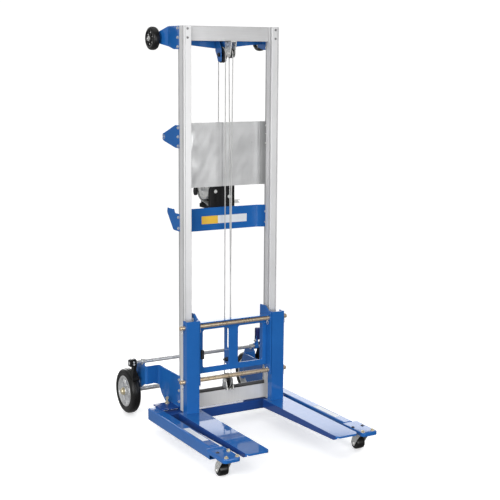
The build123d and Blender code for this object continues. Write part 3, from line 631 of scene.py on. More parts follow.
# ------------------------------------------------------------------ material kit
def node(nt, kind, **values):
    n = nt.nodes.new(kind)
    for k, v in values.items():
        setattr(n, k, v)
    return n


def coords(nt, scale=(1, 1, 1)):
    tc = node(nt, "ShaderNodeTexCoord")
    mp = node(nt, "ShaderNodeMapping")
    mp.inputs["Scale"].default_value = scale
    nt.links.new(tc.outputs["Object"], mp.inputs["Vector"])
    return mp.outputs["Vector"]


def grain(nt, scale=(1, 1, 1), size=1.0, detail=3.0, rough=0.55, distort=0.0):
    n = node(nt, "ShaderNodeTexNoise")
    n.inputs["Scale"].default_value = size
    n.inputs["Detail"].default_value = detail
    n.inputs["Roughness"].default_value = rough
    n.inputs["Distortion"].default_value = distort
    nt.links.new(coords(nt, scale), n.inputs["Vector"])
    return n.outputs["Fac"]


def cells(nt, scale=(1, 1, 1), size=1.0, feature="F1"):
    n = node(nt, "ShaderNodeTexVoronoi", feature=feature)
    n.inputs["Scale"].default_value = size
    nt.links.new(coords(nt, scale), n.inputs["Vector"])
    return n.outputs["Distance"]


def ramp(nt, fac, stops):
    n = node(nt, "ShaderNodeValToRGB")
    el = n.color_ramp.elements
    while len(el) < len(stops):
        el.new(0.5)
    for e, (pos, col) in zip(el, stops):
        e.position = pos
        e.color = (col[0], col[1], col[2], 1) if isinstance(col, (tuple, list)) else (col, col, col, 1)
    nt.links.new(fac, n.inputs["Fac"])
    return n.outputs["Color"]


def span(nt, fac, lo, hi, a=0.3, b=0.7):
    n = node(nt, "ShaderNodeMapRange")
    n.inputs["From Min"].default_value = a
    n.inputs["From Max"].default_value = b
    n.inputs["To Min"].default_value = lo
    n.inputs["To Max"].default_value = hi
    nt.links.new(fac, n.inputs["Value"])
    return n.outputs["Result"]


def blend(nt, fac, a, b, mode="MIX"):
    n = node(nt, "ShaderNodeMix", data_type="RGBA", blend_type=mode)
    for value, socket in ((fac, n.inputs[0]), (a, n.inputs[6]), (b, n.inputs[7])):
        if hasattr(value, "is_linked"):
            nt.links.new(value, socket)
        elif isinstance(value, (tuple, list)):
            socket.default_value = (value[0], value[1], value[2], 1)
        else:
            socket.default_value = value
    return n.outputs[2]


def math_node(nt, op, a, b):
    n = node(nt, "ShaderNodeMath", operation=op)
    for value, socket in ((a, n.inputs[0]), (b, n.inputs[1])):
        if hasattr(value, "is_linked"):
            nt.links.new(value, socket)
        else:
            socket.default_value = value
    return n.outputs[0]


def relief(nt, height, strength, dist, under=None):
    n = node(nt, "ShaderNodeBump")
    n.inputs["Strength"].default_value = strength
    n.inputs["Distance"].default_value = dist
    nt.links.new(height, n.inputs["Height"])
    if under is not None:
        nt.links.new(under, n.inputs["Normal"])
    return n.outputs["Normal"]


def shader(name):
    m = bpy.data.materials.new(name)
    m.use_nodes = True
    nt = m.node_tree
    return m, nt, nt.nodes["Principled BSDF"]


def wire_up(nt, bsdf, color=None, rough=None, normal=None, **fixed):
    for value, socket in ((color, "Base Color"), (rough, "Roughness"), (normal, "Normal")):
        if value is None:
            continue
        if hasattr(value, "is_linked"):
            nt.links.new(value, bsdf.inputs[socket])
        elif isinstance(value, (tuple, list)):
            bsdf.inputs[socket].default_value = (value[0], value[1], value[2], 1)
        else:
            bsdf.inputs[socket].default_value = value
    for k, v in fixed.items():
        bsdf.inputs[k.replace("_", " ")].default_value = v


def powder(name, dark, light, rough=(0.2, 0.34), coat=0.6, peel=0.12, peel_size=260, dust=(0.5, 0.5, 0.55), dusty=0.05, spec=0.1):
    """Gloss powder coat: slight colour drift, orange peel, fine scuffs and a little dust."""
    m, nt, b = shader(name)
    drift = grain(nt, size=7, detail=5, rough=0.6)
    col = ramp(nt, drift, [(0.3, dark), (0.7, light)])
    scuff = grain(nt, (60, 60, 500), size=1, detail=4, rough=0.7)
    mask = span(nt, scuff, 0.0, dusty, 0.58, 0.72)
    col = blend(nt, mask, col, dust)
    worn = grain(nt, size=38, detail=6, rough=0.65)
    r = span(nt, worn, rough[0], rough[1], 0.3, 0.75)
    peelh = grain(nt, size=peel_size, detail=2, rough=0.4)
    n1 = relief(nt, peelh, peel, 0.0006)
    wave = grain(nt, size=22, detail=1, rough=0.3)
    n2 = relief(nt, wave, 0.02, 0.002, n1)
    wire_up(nt, b, col, r, n2, Coat_Weight=coat, Coat_Roughness=0.045, Coat_IOR=1.5, Specular_IOR_Level=spec)
    return m


def metal(name, dark, light, rough=(0.25, 0.4), lines=(3, 3, 3), size=60, depth=0.15, fine=900, spots=None, spot_amount=0.3, metallic=1.0):
    """Metal with drawn or brushed lines, tone drift and optional spangle."""
    m, nt, b = shader(name)
    streak = grain(nt, lines, size=size, detail=5, rough=0.65)
    drift = grain(nt, size=9, detail=4, rough=0.6)
    mixed = math_node(nt, "MULTIPLY_ADD", streak, 0.55)
    nt.links.new(math_node(nt, "MULTIPLY", drift, 0.45), mixed.node.inputs[2])
    col = ramp(nt, mixed, [(0.3, dark), (0.7, light)])
    if spots is not None:
        sp = cells(nt, size=spots)
        col = blend(nt, span(nt, sp, 0.0, spot_amount, 0.2, 0.7), col, dark)
    r = span(nt, mixed, rough[0], rough[1], 0.3, 0.72)
    tiny = grain(nt, (lines[0] * 1.0, lines[1] * 1.0, lines[2] * 1.0), size=fine, detail=2, rough=0.5)
    n1 = relief(nt, tiny, depth, 0.0002)
    wire_up(nt, b, col, r, n1, Metallic=metallic)
    return m


def rubber(name, dark, light, rough=(0.5, 0.72), size=240, depth=0.3):
    m, nt, b = shader(name)
    drift = grain(nt, size=16, detail=6, rough=0.65)
    col = ramp(nt, drift, [(0.35, dark), (0.75, light)])
    fine = grain(nt, size=size, detail=4, rough=0.6)
    r = span(nt, drift, rough[0], rough[1], 0.3, 0.7)
    wire_up(nt, b, col, r, relief(nt, fine, depth, 0.0005), Specular_IOR_Level=0.4)
    return m


BLUE = powder("blue_powder", (0.0115, 0.108, 0.37), (0.0150, 0.128, 0.42), rough=(0.3, 0.4), coat=1.0, peel=0.05, dusty=0.02, spec=0.03)
NAVY = powder("navy_powder", (0.007, 0.014, 0.085), (0.010, 0.020, 0.115), rough=(0.3, 0.4), coat=0.6, peel=0.06, dusty=0.02)
# darker copy of the blue powder coat for parts low in the base's shade: painted shade
SHADED_BLUE = powder("deep_blue_powder", (0.0105, 0.048, 0.215), (0.0125, 0.058, 0.250), rough=(0.3, 0.4), coat=0.8, peel=0.05, dusty=0.02, spec=0.03)
BLACK = powder("black_satin", (0.006, 0.006, 0.007), (0.013, 0.013, 0.014), rough=(0.28, 0.45), coat=0.15, peel=0.25, peel_size=420, dust=(0.16, 0.16, 0.16), dusty=0.18)
MAST = metal("mast_satin", (0.65, 0.65, 0.655), (0.735, 0.735, 0.74), rough=(0.36, 0.48), lines=(10, 10, 0.12), size=40, depth=0.10, fine=160, metallic=0.3)
SHEET = metal("sheet_mill", (0.49, 0.493, 0.496), (0.57, 0.573, 0.576), rough=(0.26, 0.36), lines=(1, 2, 3), size=7, depth=0.004, fine=60, metallic=0.4)
# darker copy of the sheet metal for its right slanted end: painted shade
SHADE = metal("sheet_end", (0.295, 0.298, 0.30), (0.345, 0.348, 0.35), rough=(0.26, 0.36), lines=(1, 2, 3), size=7, depth=0.004, fine=60, metallic=0.4)
# paler, less metallic copy of the zinc for the winch gear: painted light
ZINC_PAINTED_LIGHT = metal("pale_zinc", (0.78, 0.78, 0.76), (0.90, 0.90, 0.88), rough=(0.24, 0.38), lines=(2, 2, 2), size=50, depth=0.10, fine=400, spots=120, spot_amount=0.1, metallic=0.25)
BAR = metal("bar_satin", (0.49, 0.49, 0.495), (0.60, 0.60, 0.605), rough=(0.30, 0.44), lines=(0.2, 8, 8), size=40, depth=0.10, fine=160, metallic=0.4)
# darker copy of the mast metal for the outer rails and groove floors: painted shade
SHADED_MAST = metal("outer_mast_satin", (0.40, 0.40, 0.405), (0.52, 0.52, 0.525), rough=(0.36, 0.48), lines=(10, 10, 0.12), size=40, depth=0.10, fine=160, metallic=0.35)
# near-black copy of the bar metal for the inside of the bottom channel: painted shade
CHANNEL_SHADE = metal("bar_inside", (0.07, 0.07, 0.072), (0.15, 0.15, 0.152), rough=(0.36, 0.5), lines=(0.2, 8, 8), size=40, depth=0.1, fine=160, metallic=0.3)
SCREW = metal("dull_screw", (0.20, 0.20, 0.205), (0.32, 0.32, 0.325), rough=(0.35, 0.5), lines=(3, 3, 3), size=90, depth=0.2, fine=600, metallic=0.6)
ZINC = metal("bright_zinc", (0.60, 0.60, 0.585), (0.80, 0.80, 0.785), rough=(0.22, 0.38), lines=(2, 2, 2), size=50, depth=0.12, fine=500, spots=120, spot_amount=0.2, metallic=0.65)
STEEL = metal("ground_steel", (0.60, 0.61, 0.62), (0.78, 0.79, 0.80), rough=(0.16, 0.30), lines=(9, 1, 1), size=50, depth=0.06, fine=300, metallic=0.7)
YELLOW = metal("yellow_zinc", (0.58, 0.43, 0.27), (0.80, 0.66, 0.48), rough=(0.22, 0.38), lines=(6, 2, 2), size=24, depth=0.10, fine=300, spots=70, spot_amount=0.3, metallic=0.7)
BRASSY = metal("pale_yellow_zinc", (0.62, 0.54, 0.36), (0.82, 0.76, 0.58), rough=(0.24, 0.4), lines=(3, 3, 3), size=60, depth=0.15, fine=400, spots=160, metallic=0.7)
ROPE = metal("galvanised_wire", (0.56, 0.56, 0.555), (0.78, 0.78, 0.77), rough=(0.3, 0.5), lines=(3, 3, 3), size=160, depth=0.3, fine=900, metallic=0.6)
SHEAVE = metal("oiled_steel", (0.035, 0.035, 0.037), (0.10, 0.10, 0.102), rough=(0.28, 0.45), lines=(4, 4, 4), size=60, depth=0.2, fine=500)
GREY = metal("cast_rim", (0.56, 0.565, 0.57), (0.74, 0.745, 0.75), rough=(0.28, 0.42), lines=(3, 3, 3), size=70, depth=0.3, fine=420, metallic=0.55)
DARKBOLT = metal("black_oxide", (0.05, 0.05, 0.055), (0.13, 0.13, 0.135), rough=(0.3, 0.45), lines=(3, 3, 3), size=90, depth=0.2, fine=600)
TYRE = rubber("tyre_rubber", (0.0030, 0.0030, 0.0030), (0.009, 0.009, 0.009), rough=(0.24, 0.38), depth=0.2)
CASTER = rubber("caster_rubber", (0.0030, 0.0030, 0.0030), (0.010, 0.010, 0.010), rough=(0.26, 0.44), size=320, depth=0.15)
PLASTIC = rubber("black_plastic", (0.010, 0.010, 0.011), (0.022, 0.022, 0.023), rough=(0.36, 0.52), size=600, depth=0.25)
NYLON = rubber("glide_nylon", (0.62, 0.61, 0.57), (0.76, 0.75, 0.71), rough=(0.35, 0.5), size=300, depth=0.12)
PLAIN_YELLOW = rubber("plain_yellow_film", (0.72, 0.43, 0.030), (0.83, 0.53, 0.045), rough=(0.3, 0.42), size=90, depth=0.06)
PLAIN_PALE = rubber("plain_pale_film", (0.66, 0.69, 0.73), (0.78, 0.81, 0.84), rough=(0.28, 0.42), size=90, depth=0.06)


# ------------------------------------------------------------------ objects
def finish_mesh(name, mesh, mats, body, nodes, slot, angle=40, weighted=True):
    for m in mats:
        mesh.materials.append(m)
    mesh.shade_smooth()
    mesh.set_sharp_from_angle(angle=math.radians(angle))
    ob = bpy.data.objects.new(name, mesh)
    scene.collection.objects.link(ob)
    if weighted:
        mod = ob.modifiers.new("weighted", "WEIGHTED_NORMAL")
        mod.keep_sharp = True
        mod.weight = 80
    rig.ride(ob, body)
    if nodes:
        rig.replaces(ob, *nodes)
    if slot:
        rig.slot(ob, slot)
    return ob


def emit(name, geo, mats, body, nodes=(), slot=None, angle=40, weighted=True):
    if not isinstance(mats, (list, tuple)):
        mats = [mats]
    bm = bmesh.new()
    vs = [bm.verts.new((p.x / 1000, (p.y + SHIFT) / 1000, p.z / 1000)) for p in geo.v]
    for f, m in zip(geo.f, geo.m):
        if len(set(f)) < 3:
            continue
        face = bm.faces.new([vs[i] for i in f])
        face.material_index = m
    bmesh.ops.remove_doubles(bm, verts=bm.verts, dist=1e-8)
    bmesh.ops.recalc_face_normals(bm, faces=bm.faces)
    mesh = bpy.data.meshes.new(name)
    bm.to_mesh(mesh)
    bm.free()
    return finish_mesh(name, mesh, mats, body, nodes, slot, angle, weighted)


def refine(name, node_name, mat, body, width, slot=None, seg=3, angle=28, low=None):
    """A copy of the node's own shape with rounded edges."""
    bm = bmesh.new()
    bm.from_mesh(NODES[node_name].data)
    bmesh.ops.remove_doubles(bm, verts=bm.verts, dist=2e-6)
    bmesh.ops.dissolve_limit(bm, angle_limit=math.radians(0.8), verts=bm.verts, edges=bm.edges)
    edges = [e for e in bm.edges if len(e.link_faces) == 2 and e.calc_face_angle(0) > math.radians(angle)]
    bmesh.ops.bevel(bm, geom=edges, offset=width / 1000, offset_type="OFFSET", segments=seg, profile=0.5,
                    affect="EDGES", clamp_overlap=True)
    bmesh.ops.recalc_face_normals(bm, faces=bm.faces)
    for f in bm.faces:
        # faces facing ±X below 97.5 mm take the second, darker material if one is given: painted shade
        f.material_index = 1 if low and abs(f.normal.x) > 0.8 and f.calc_center_median().z < 0.0975 else 0
    mesh = bpy.data.meshes.new(name)
    bm.to_mesh(mesh)
    bm.free()
    return finish_mesh(name, mesh, [mat, low] if low else [mat], body, (node_name,), slot)


# ================================================================== base
for word, s in SIDES:
    # leg: rounded box tube, open in front, plugged at the rear
    tube = rect(289, 336, 42, 94, 6, 5)
    bore = rect(292, 333, 45, 91, 3, 4)
    leg = plate_y(tube, -434, 124, [bore], b=0.8)
    leg += plate_y(rect(292.3, 332.7, 45.3, 90.7, 3, 4), 118, 123.4, b=1.0)
    emit(word + "_leg_tube", leg.on(s), BLUE, "chassis", (word + "_leg",), "blue_paint")

    # pressed pan with the tongue that enters the tube
    px = 317.0
    outline = fillet([(px - 38, -587, 16), (px + 38, -587, 16), (px + 38, -437, 10), (px - 38, -437, 10)], 10, 7)
    pan = loft(outline, [(9.0, 88.0), (6.5, 87.6), (5.2, 86.2), (5.0, 84.5), (5.0, 78.0), (4.5, 77.2), (3.8, 77.0), (1.2, 77.0),
                         (0.5, 77.2), (0.0, 78.0), (0.0, 87.5), (0.5, 90.2), (1.7, 92.0), (3.2, 92.8), (4.8, 93.0)])
    pan += plate_z(rect(292.4, 332.6, -444, -395, 3), 79.1, 90.9, b=1.2)
    pan += lathe([(0, 75.05), (19, 75.05), (20, 76.2), (20, 88.5), (0, 88.5)], px, -537, 0, "z", 48, 0.8)
    # weld bead between pan and tongue
    bead = [(295 + i * 2.6, -438 + 0.5 * math.sin(i * 1.9), 91.6) for i in range(14)]
    pan += wire(bead, 1.9, 1.5, 8)
    emit(word + "_caster_pan", pan.on(s), BLUE, "chassis", (word + "_caster_plate",), "blue_paint")

# pan bolts: nut, washer and thread end in front, low dark screws in the other places
bolts = Geo()
for s in (-1, 1):
    for dx in (-23.5, 23.5):
        for dy in (-34.5, 34.5):
            x, y = s * 313 + dx, -537 + dy
            if dy > 0 and (s > 0 or dx < 0):
                bolts += washer(4.2, 7.6, 93.0, 93.9, x, y, 0, "z", mat=1)
                bolts += dome(5.8, 93.7, 2.8, x, y, 0, "z", mat=1, socket=3.0)
            else:
                bolts += washer(4.2, 8.4, 93.0, 94.4, x, y, 0, "z")
                bolts += hexa(7.0, 94.4, 99.0, x, y, 0, "z", bore=3.4, both=True, phase=0.35 * dx)
                bolts += stud(3.6, 92.0, 101.0, x, y, 0, "z")
            bolts += hexa(7.0, 87.9, 83.8, x, y, 0, "z", phase=0.6)
emit("caster_bolt_set", bolts, [BRASSY, DARKBOLT], "chassis", ("caster_bolts",), "yellow_zinc")

# crossbeam: folded channel, open to the rear
beam = plate_x(fillet([(20, 46, 5), (80, 46, 1.2), (80, 50, 1.2), (24, 50, 2.5), (24, 84, 2.5), (80, 84, 1.2), (80, 88, 1.2), (20, 88, 5)], 1, 4),
               -288.9, 288.9, b=0.6)
for s in (-1, 1):
    # weld bead where the beam meets each leg
    line = [(s * 287.4, 20 + i * 2.0, 87.2 + 0.35 * math.sin(i * 2.1)) for i in range(30)]
    beam += wire(line, 2.4, 1.6, 8)
# the whole crossbeam takes the darker blue copy: painted shade
emit("base_channel", beam, SHADED_BLUE, "chassis", ("base_crossbeam",), "blue_paint")

# base brackets: one bent plate from the mast to the axle, with a foot on the leg
for word, s in SIDES:
    line = Bend([(213.5, 45), (213.5, 269.5), (277.5, 269.5), (277.5, 430)], 9, 7)

    def mast(y):
        return line.at(213.5, y)

    def wing(y):
        return line.at(277.5, y)

    out = [(mast(45), 88, 2), (mast(206), 88, 14), (mast(243), 114, 14), (mast(266), 147, 10), (line.at(240, 269.5), 155, 6),
           (wing(282), 152, 8), (wing(352), 108, 10), (wing(376), 74, 14), (wing(404), 76, 10), (wing(416), 92, 10),
           (wing(412), 128, 14), (wing(362), 231, 8), (wing(324), 235, 4), (wing(318), 246, 2)]
    out += [(wing(303 + 8.1 * math.cos(math.radians(d))), 250 + 8.1 * math.sin(math.radians(d)), 0) for d in range(-30, -151, -15)]
    out += [(wing(288), 246, 2), (wing(282), 235, 4), (mast(45), 235, 4)]
    br = bent(fillet(out, 4, 5), line, 5.0, b=0.9)
    # the foot plate on the leg takes the darker blue copy (third material): painted shade
    br += plate_z(rect(211.2, 300, 62, 150, 4), 94, 100, b=0.9, mat=2)
    # weld along the foot
    bead = [(217.5 + 0.4 * math.sin(i * 2.3), 66 + i * 2.4, 101.0) for i in range(34)]
    br += wire(bead, 2.6, 1.8, 8)
    br += washer(8.06, 11, 275.1, 279.9, 0, 303, 250, "x", mat=1)
    emit(word + "_axle_bracket", br.on(s), [BLUE, ZINC, SHADED_BLUE], "chassis", (word + "_base_bracket",), "blue_paint")

    # tall levelling screw through the foot
    fb = washer(5.2, 10.5, 100.0, 101.8, 240, 135, 0, "z")
    fb += hexa(8.2, 101.8, 107.4, 240, 135, 0, "z", bore=4.4, both=True, phase=0.4)
    fb += stud(4.6, 101.0, 121.0, 240, 135, 0, "z", pitch=1.4)
    fb += hexa(7.6, 120.4, 127.6, 240, 135, 0, "z", phase=0.2, dish=0.6)
    emit(word + "_foot_screw", fb.on(s), BRASSY, "chassis", (), "yellow_zinc")

# axle with collars
axle = rod(-339, 339, 388, 100, 10, 1.5, 40)
for s in (-1, 1):
    axle += lathe([(9.5, 280.1), (14, 280.1), (14, 287.4), (9.5, 287.4)], 0, 388, 100, "x", 40, 0.8).on(s)
emit("wheel_axle_bar", axle, STEEL, "chassis", ("wheel_axle",), "bright_steel")
nuts = Geo()
for s in (-1, 1):
    nuts += (washer(10, 17.5, 333.6, 335.0, 0, 388, 100, "x") + hexa(16, 335.0, 341.2, 0, 388, 100, "x", both=True, phase=0.25)
             + dome(12, 341.0, 7.0, 0, 388, 100, "x")).on(s)
emit("axle_nut_set", nuts, BRASSY, "chassis", ("axle_nuts",), "yellow_zinc")

# casters, trailing to the rear of their swivels
for word, s in SIDES:
    c = 317.0
    wy, wz = -502.0, 25.0
    fork = plate_z(rect(c - 24, c + 24, -555, -509, 8, 6), 69, 72.6, b=1.2)
    fork += lathe([(0, 72.2), (17.5, 72.2), (19.2, 73.0), (19.2, 73.9), (17.0, 74.7), (0, 74.7)], c, -537, 0, "z", 48, 0.4)
    fork += rod(74.0, 84.9, -537, 0, 4.9, 0.6, 24, 0, "z", c)
    # stamped stiffening ring below the plate
    fork += lathe([(0, 67.2), (9, 67.2), (11, 69.4), (0, 69.4)], c, -537, 0, "z", 36, 0.6)
    cheek = fillet([(-550, 72.2, 3), (-511, 72.2, 8), (-490, 44, 18), (-489, 26, 10), (-495, 14.5, 7), (-508, 14.5, 7), (-515, 28, 16), (-534, 54, 16)], 6, 6)
    for x0 in (c - 24, c + 21.5):
        fork += plate_x(cheek, x0, x0 + 2.5, b=0.9)
    for d in (-1, 1):
        x = c + d * 24
        fork += washer(3.6, 7.4, x, x + d * 1.0, 0, wy, wz, "x")
        fork += hexa(6.4, x + d * 1.0, x + d * 5.0, 0, wy, wz, "x", phase=0.2)
    fork += rod(c - 26, c + 26, wy, wz, 3.95, 0.5, 20)
    emit(word + "_caster_yoke", fork.on(s), ZINC, word + "_caster", (word + "_caster_fork",), "zinc_steel")
    wheel = lathe([(4.3, c - 20.5), (9, c - 20.5), (10, c - 19.2), (18, c - 17.8), (19, c - 19), (21.5, c - 19), (23.8, c - 16.5), (24.8, c - 11), (25, c),
                   (24.8, c + 11), (23.8, c + 16.5), (21.5, c + 19), (19, c + 19), (18, c + 17.8), (10, c + 19.2), (9, c + 20.5), (4.3, c + 20.5)],
                  0, wy, wz, "x", 64, 0.9)
    emit(word + "_caster_roller_wheel", wheel.on(s), CASTER, word + "_caster_roller", (word + "_caster_wheel",), "caster_rubber")

# rear wheels
for word, s in SIDES:
    m = 310.5
    prof = [(69.2, m - 19.5), (73.5, m - 22.5), (77.5, m - 22.3), (78.5, m - 21.4), (80, m - 21.4), (81, m - 22.4), (85, m - 22.3), (92, m - 20), (97, m - 15.5),
            (99.3, m - 9.5), (99.6, m - 8.2), (97.6, m - 7.2), (97.6, m - 5.6), (99.8, m - 4.6), (100, m), (99.8, m + 4.6), (97.6, m + 5.6), (97.6, m + 7.2),
            (99.6, m + 8.2), (99.3, m + 9.5), (97, m + 15.5), (92, m + 20), (85, m + 22.3), (81, m + 22.4), (80, m + 21.4), (78.5, m + 21.4), (77.5, m + 22.3),
            (73.5, m + 22.5), (69.2, m + 19.5)]
    tyre = lathe(prof, 0, 388, 100, "x", 96, 0.8)
    emit(word + "_tyre_ring", tyre.on(s), TYRE, word + "_wheel", (word + "_tyre",), "tyre_rubber")

    rim = lathe([(60, m - 18.6), (61.5, m - 20), (67.5, m - 20), (69.1, m - 19), (69.1, m + 19), (67.5, m + 20), (61.5, m + 20), (60, m + 18.6),
                 (58.5, m + 8), (58.5, m - 8)], 0, 388, 100, "x", 80, 0.7)
    holes = []
    for k in range(5):
        a = math.radians(18 + 72 * k)
        r0, r1, h0, h1 = 29.0, 54.0, math.radians(24), math.radians(25.5)
        pts = [(r0, -h0), (r1, -h1), (r1 + 1.6, 0), (r1, h1), (r0, h0)]
        hole = [(388 + r * math.cos(a + d), 100 + r * math.sin(a + d)) for r, d in pts]
        holes.append(fillet(hole, 5.5, 4))
    rim += plate_x(circle(388, 100, 60.4, 80), m - 6.5, m + 6.5, holes, b=2.2)
    for k in range(5):
        # rib along each spoke, on both faces
        a = math.radians(18 + 36 + 72 * k)
        for d in (-1, 1):
            x0, x1 = sorted((m + d * 6.0, m + d * 10.5))
            rib = [(r * math.cos(a) - t * math.sin(a) + 388, r * math.sin(a) + t * math.cos(a) + 100)
                   for r, t in ((18, -3.4), (59.4, -2.2), (59.4, 2.2), (18, 3.4))]
            rim += plate_x(fillet(rib, 1.0, 3), x0, x1, b=1.4)
    rim += lathe([(10.06, m - 22.4), (18, m - 22.4), (20, m - 20), (21.5, m - 8), (21.5, m + 8), (20, m + 20), (18, m + 22.4), (10.06, m + 22.4)],
                 0, 388, 100, "x", 48, 0.9)
    emit(word + "_rim_casting", rim.on(s), GREY, word + "_wheel", (word + "_rim",), "rim_grey")

# ================================================================== brake
brod = rod(-345, 345, 303, 250, 8, 1.2, 36)
emit("brake_cross_rod", brod, STEEL, "brake", ("brake_rod",), "bright_steel")

shoes = Geo()
DIR = math.radians(128.5)


def ring_pt(r, deg):
    a = DIR + math.radians(deg)
    return (388 + r * math.cos(a), 100 + r * math.sin(a))


for s in (-1, 1):
    one = plate_x(fillet([(287, 235, 5), (319, 235, 5), (319, 258, 7), (311, 266, 7), (295, 266, 7), (287, 258, 7)], 5, 4), 312, 342, b=1.6)
    arm = [(317, 242), (316, 228)] + [ring_pt(113, -8), ring_pt(113, 8)] + [(288, 236), (288, 244)]
    one += plate_x(fillet(arm, 3, 3), 312, 326, b=1.2)
    back = [ring_pt(108.5, d) for d in range(-14, 15, 2)] + [ring_pt(115, d) for d in range(12, -13, -2)]
    one += plate_x(fillet(back, 1.0, 2), 295, 326, b=1.2)
    lining = [ring_pt(104.1, d) for d in range(-13, 14, 2)] + [ring_pt(109, d) for d in range(13, -14, -2)]
    one += plate_x(fillet(lining, 0.6, 2), 296, 325, b=0.7, mat=1)
    for x in (320, 335):
        one += washer(2.5, 5.6, 266, 267, x, 303, 0, "z", mat=2)
        one += hexa(4.8, 267, 270.5, x, 303, 0, "z", mat=2, dish=0.6)
    for z in (246, 256):
        one += hexa(4.4, 286.8, 283.6, 327, 0, z, "y", mat=2, dish=0.5)
    one += washer(8.1, 13, 280.1, 281.6, 0, 303, 250, "x", mat=2)
    one += washer(8.1, 13, 309.6, 311.8, 0, 303, 250, "x", mat=2)
    shoes += one.on(s)
for s in (-1, 1):
    shoes += hexa(13, 268.6, 274.6, 0, 303, 250, "x", bore=8.1, both=True, mat=2).on(s)
emit("brake_shoe_pair", shoes, [BLACK, TYRE, ZINC], "brake", ("brake_shoes",), "black_paint")

pedal = lathe([(8.05, 290.1), (14, 290.1), (14, 307.9), (8.05, 307.9)], 0, 303, 250, "x", 40, 1.2)
pedal += plate_x(fillet([(294, 250), (312, 250), (312, 300), (294, 300)], 3, 4), 297, 307, b=1.2)
block = loft(rect(297, 327, 290, 316, 8, 6), [(6, 280), (3, 280.4), (1.0, 281.6), (0, 284), (0, 330), (0.8, 333), (2.6, 335.2), (5, 336)])
pedal += block.paint(2)
for i in range(5):
    # tread ribs on the pedal's front
    z = 290 + i * 9
    pedal += plate_y(rect(302, 322, z, z + 4, 1.6, 3), 289.2, 291, b=0.7, mat=2)
pedal += washer(3.2, 6.6, 296.9, 295.6, 0, 303, 276, "x", mat=1) + hexa(6, 295.6, 290.4, 0, 303, 276, "x", mat=1, dish=0.6)
emit("brake_foot_pedal", pedal, [BLUE, ZINC, NAVY], "brake", ("brake_pedal",), "blue_paint")

# ================================================================== fixed mast
for word, s in SIDES:
    prof = [(194.5, 22, 1.5), (217.5, 22, 1.5), (217.5, 36.5, 1.5), (211, 36.5, 0.8), (211, 58, 0), (210.4, 58.6, 0), (210.4, 61, 0), (211, 61.6, 0),
            (211, 76, 1.2), (203, 76, 1.2), (203, 61.6, 0), (203.6, 61, 0), (203.6, 58.6, 0), (203, 58, 0), (203, 36.5, 0.8), (194.5, 36.5, 1.5)]
    # the outer rails take the darker mast copy: painted shade of the gap behind the inner rails
    emit(word + "_outer_mast_rail", plate_z(fillet(prof, 0.8, 3), 88, 1700, b=0.25).on(s), SHADED_MAST, "chassis", (word + "_outer_rail",), "mast_alu")

# top bracket
top = Geo()
for s in (-1, 1):
    line = Bend([(213.5, 45), (213.5, 157.3), (237.5, 199.3), (237.5, 240)], 12, 6)

    def tail(y):
        return line.at(237.5, y)

    k1, k2 = line.at(213.5, 157.3), line.at(237.5, 199.3)
    out = [(0, 1606, 3), (line.at(213.5, 108), 1606, 20), (k1, 1617.6, 20), (k2, 1629, 14), (tail(226), 1630, 8), (tail(236), 1638, 10), (tail(240), 1650, 8),
           (tail(236), 1662, 10), (tail(226), 1671, 8), (k2, 1678, 14), (k1, 1700, 20), (0, 1700, 3)]
    sidep = bent(fillet(out, 6, 5), line, 5.0, b=0.9)
    sidep += rod(229, 278.4, 219, 1650, 5.95, 0.8, 32, 1)
    sidep += lathe([(5.5, 240.1), (11, 240.1), (11, 241.0), (5.5, 241.0)], 0, 219, 1650, "x", 36, 0.2, 1)
    sidep += washer(5.8, 11.0, 275.2, 276.2, 0, 219, 1650, "x", 1)
    sidep += hexa(8.4, 276.2, 279.0, 0, 219, 1650, "x", mat=1, dish=0.5)
    sidep += hexa(8.6, 229.0, 234.9, 0, 219, 1650, "x", mat=1)
    top += sidep.on(s)
vee = fillet([(-211.2, 1630, 3), (-150, 1625, 60), (0, 1609, 120), (150, 1625, 60), (211.2, 1630, 3), (211.2, 1694, 3), (-211.2, 1694, 3)], 4, 6)
top += plate_y(vee, 126, 131, b=0.9)
emit("top_bracket_frame", top, [BLUE, ZINC], "chassis", ("top_bracket",), "blue_paint")

for word, s in SIDES:
    m = 258.0
    tw = lathe([(6.1, m - 16.8), (15, m - 16.8), (17, m - 15), (18, m - 11), (31, m - 11), (33, m - 15.4), (39, m - 16), (44.5, m - 13.5), (47, m - 9), (48, m - 3),
                (48, m + 3), (47, m + 9), (44.5, m + 13.5), (39, m + 16), (33, m + 15.4), (31, m + 11), (18, m + 11), (17, m + 15), (15, m + 16.8), (6.1, m + 16.8)],
               0, 219, 1650, "x", 72, 1.2)
    for d in (-1, 1):
        for k in range(6):
            # spokes in the dished hub and a bright rivet between each pair
            a = math.radians(60 * k + 12)
            x0, x1 = sorted((m + d * 10.5, m + d * 14.6))
            spoke = [(219 + r * math.cos(a) - w * math.sin(a), 1650 + r * math.sin(a) + w * math.cos(a)) for r, w in ((15, -3), (32.4, -2.2), (32.4, 2.2), (15, 3))]
            tw += plate_x(fillet(spoke, 1.6, 3), x0, x1, b=1.2).paint(1)
            a += math.radians(30)
            tw += dome(2.8, m + d * 10.9, d * 1.6, 0, 219 + 24 * math.cos(a), 1650 + 24 * math.sin(a), "x", 2)
    emit(word + "_loading_roller", tw.on(s), [CASTER, PLASTIC, ZINC], word + "_loading_wheel", (word + "_top_wheel",), "caster_rubber")

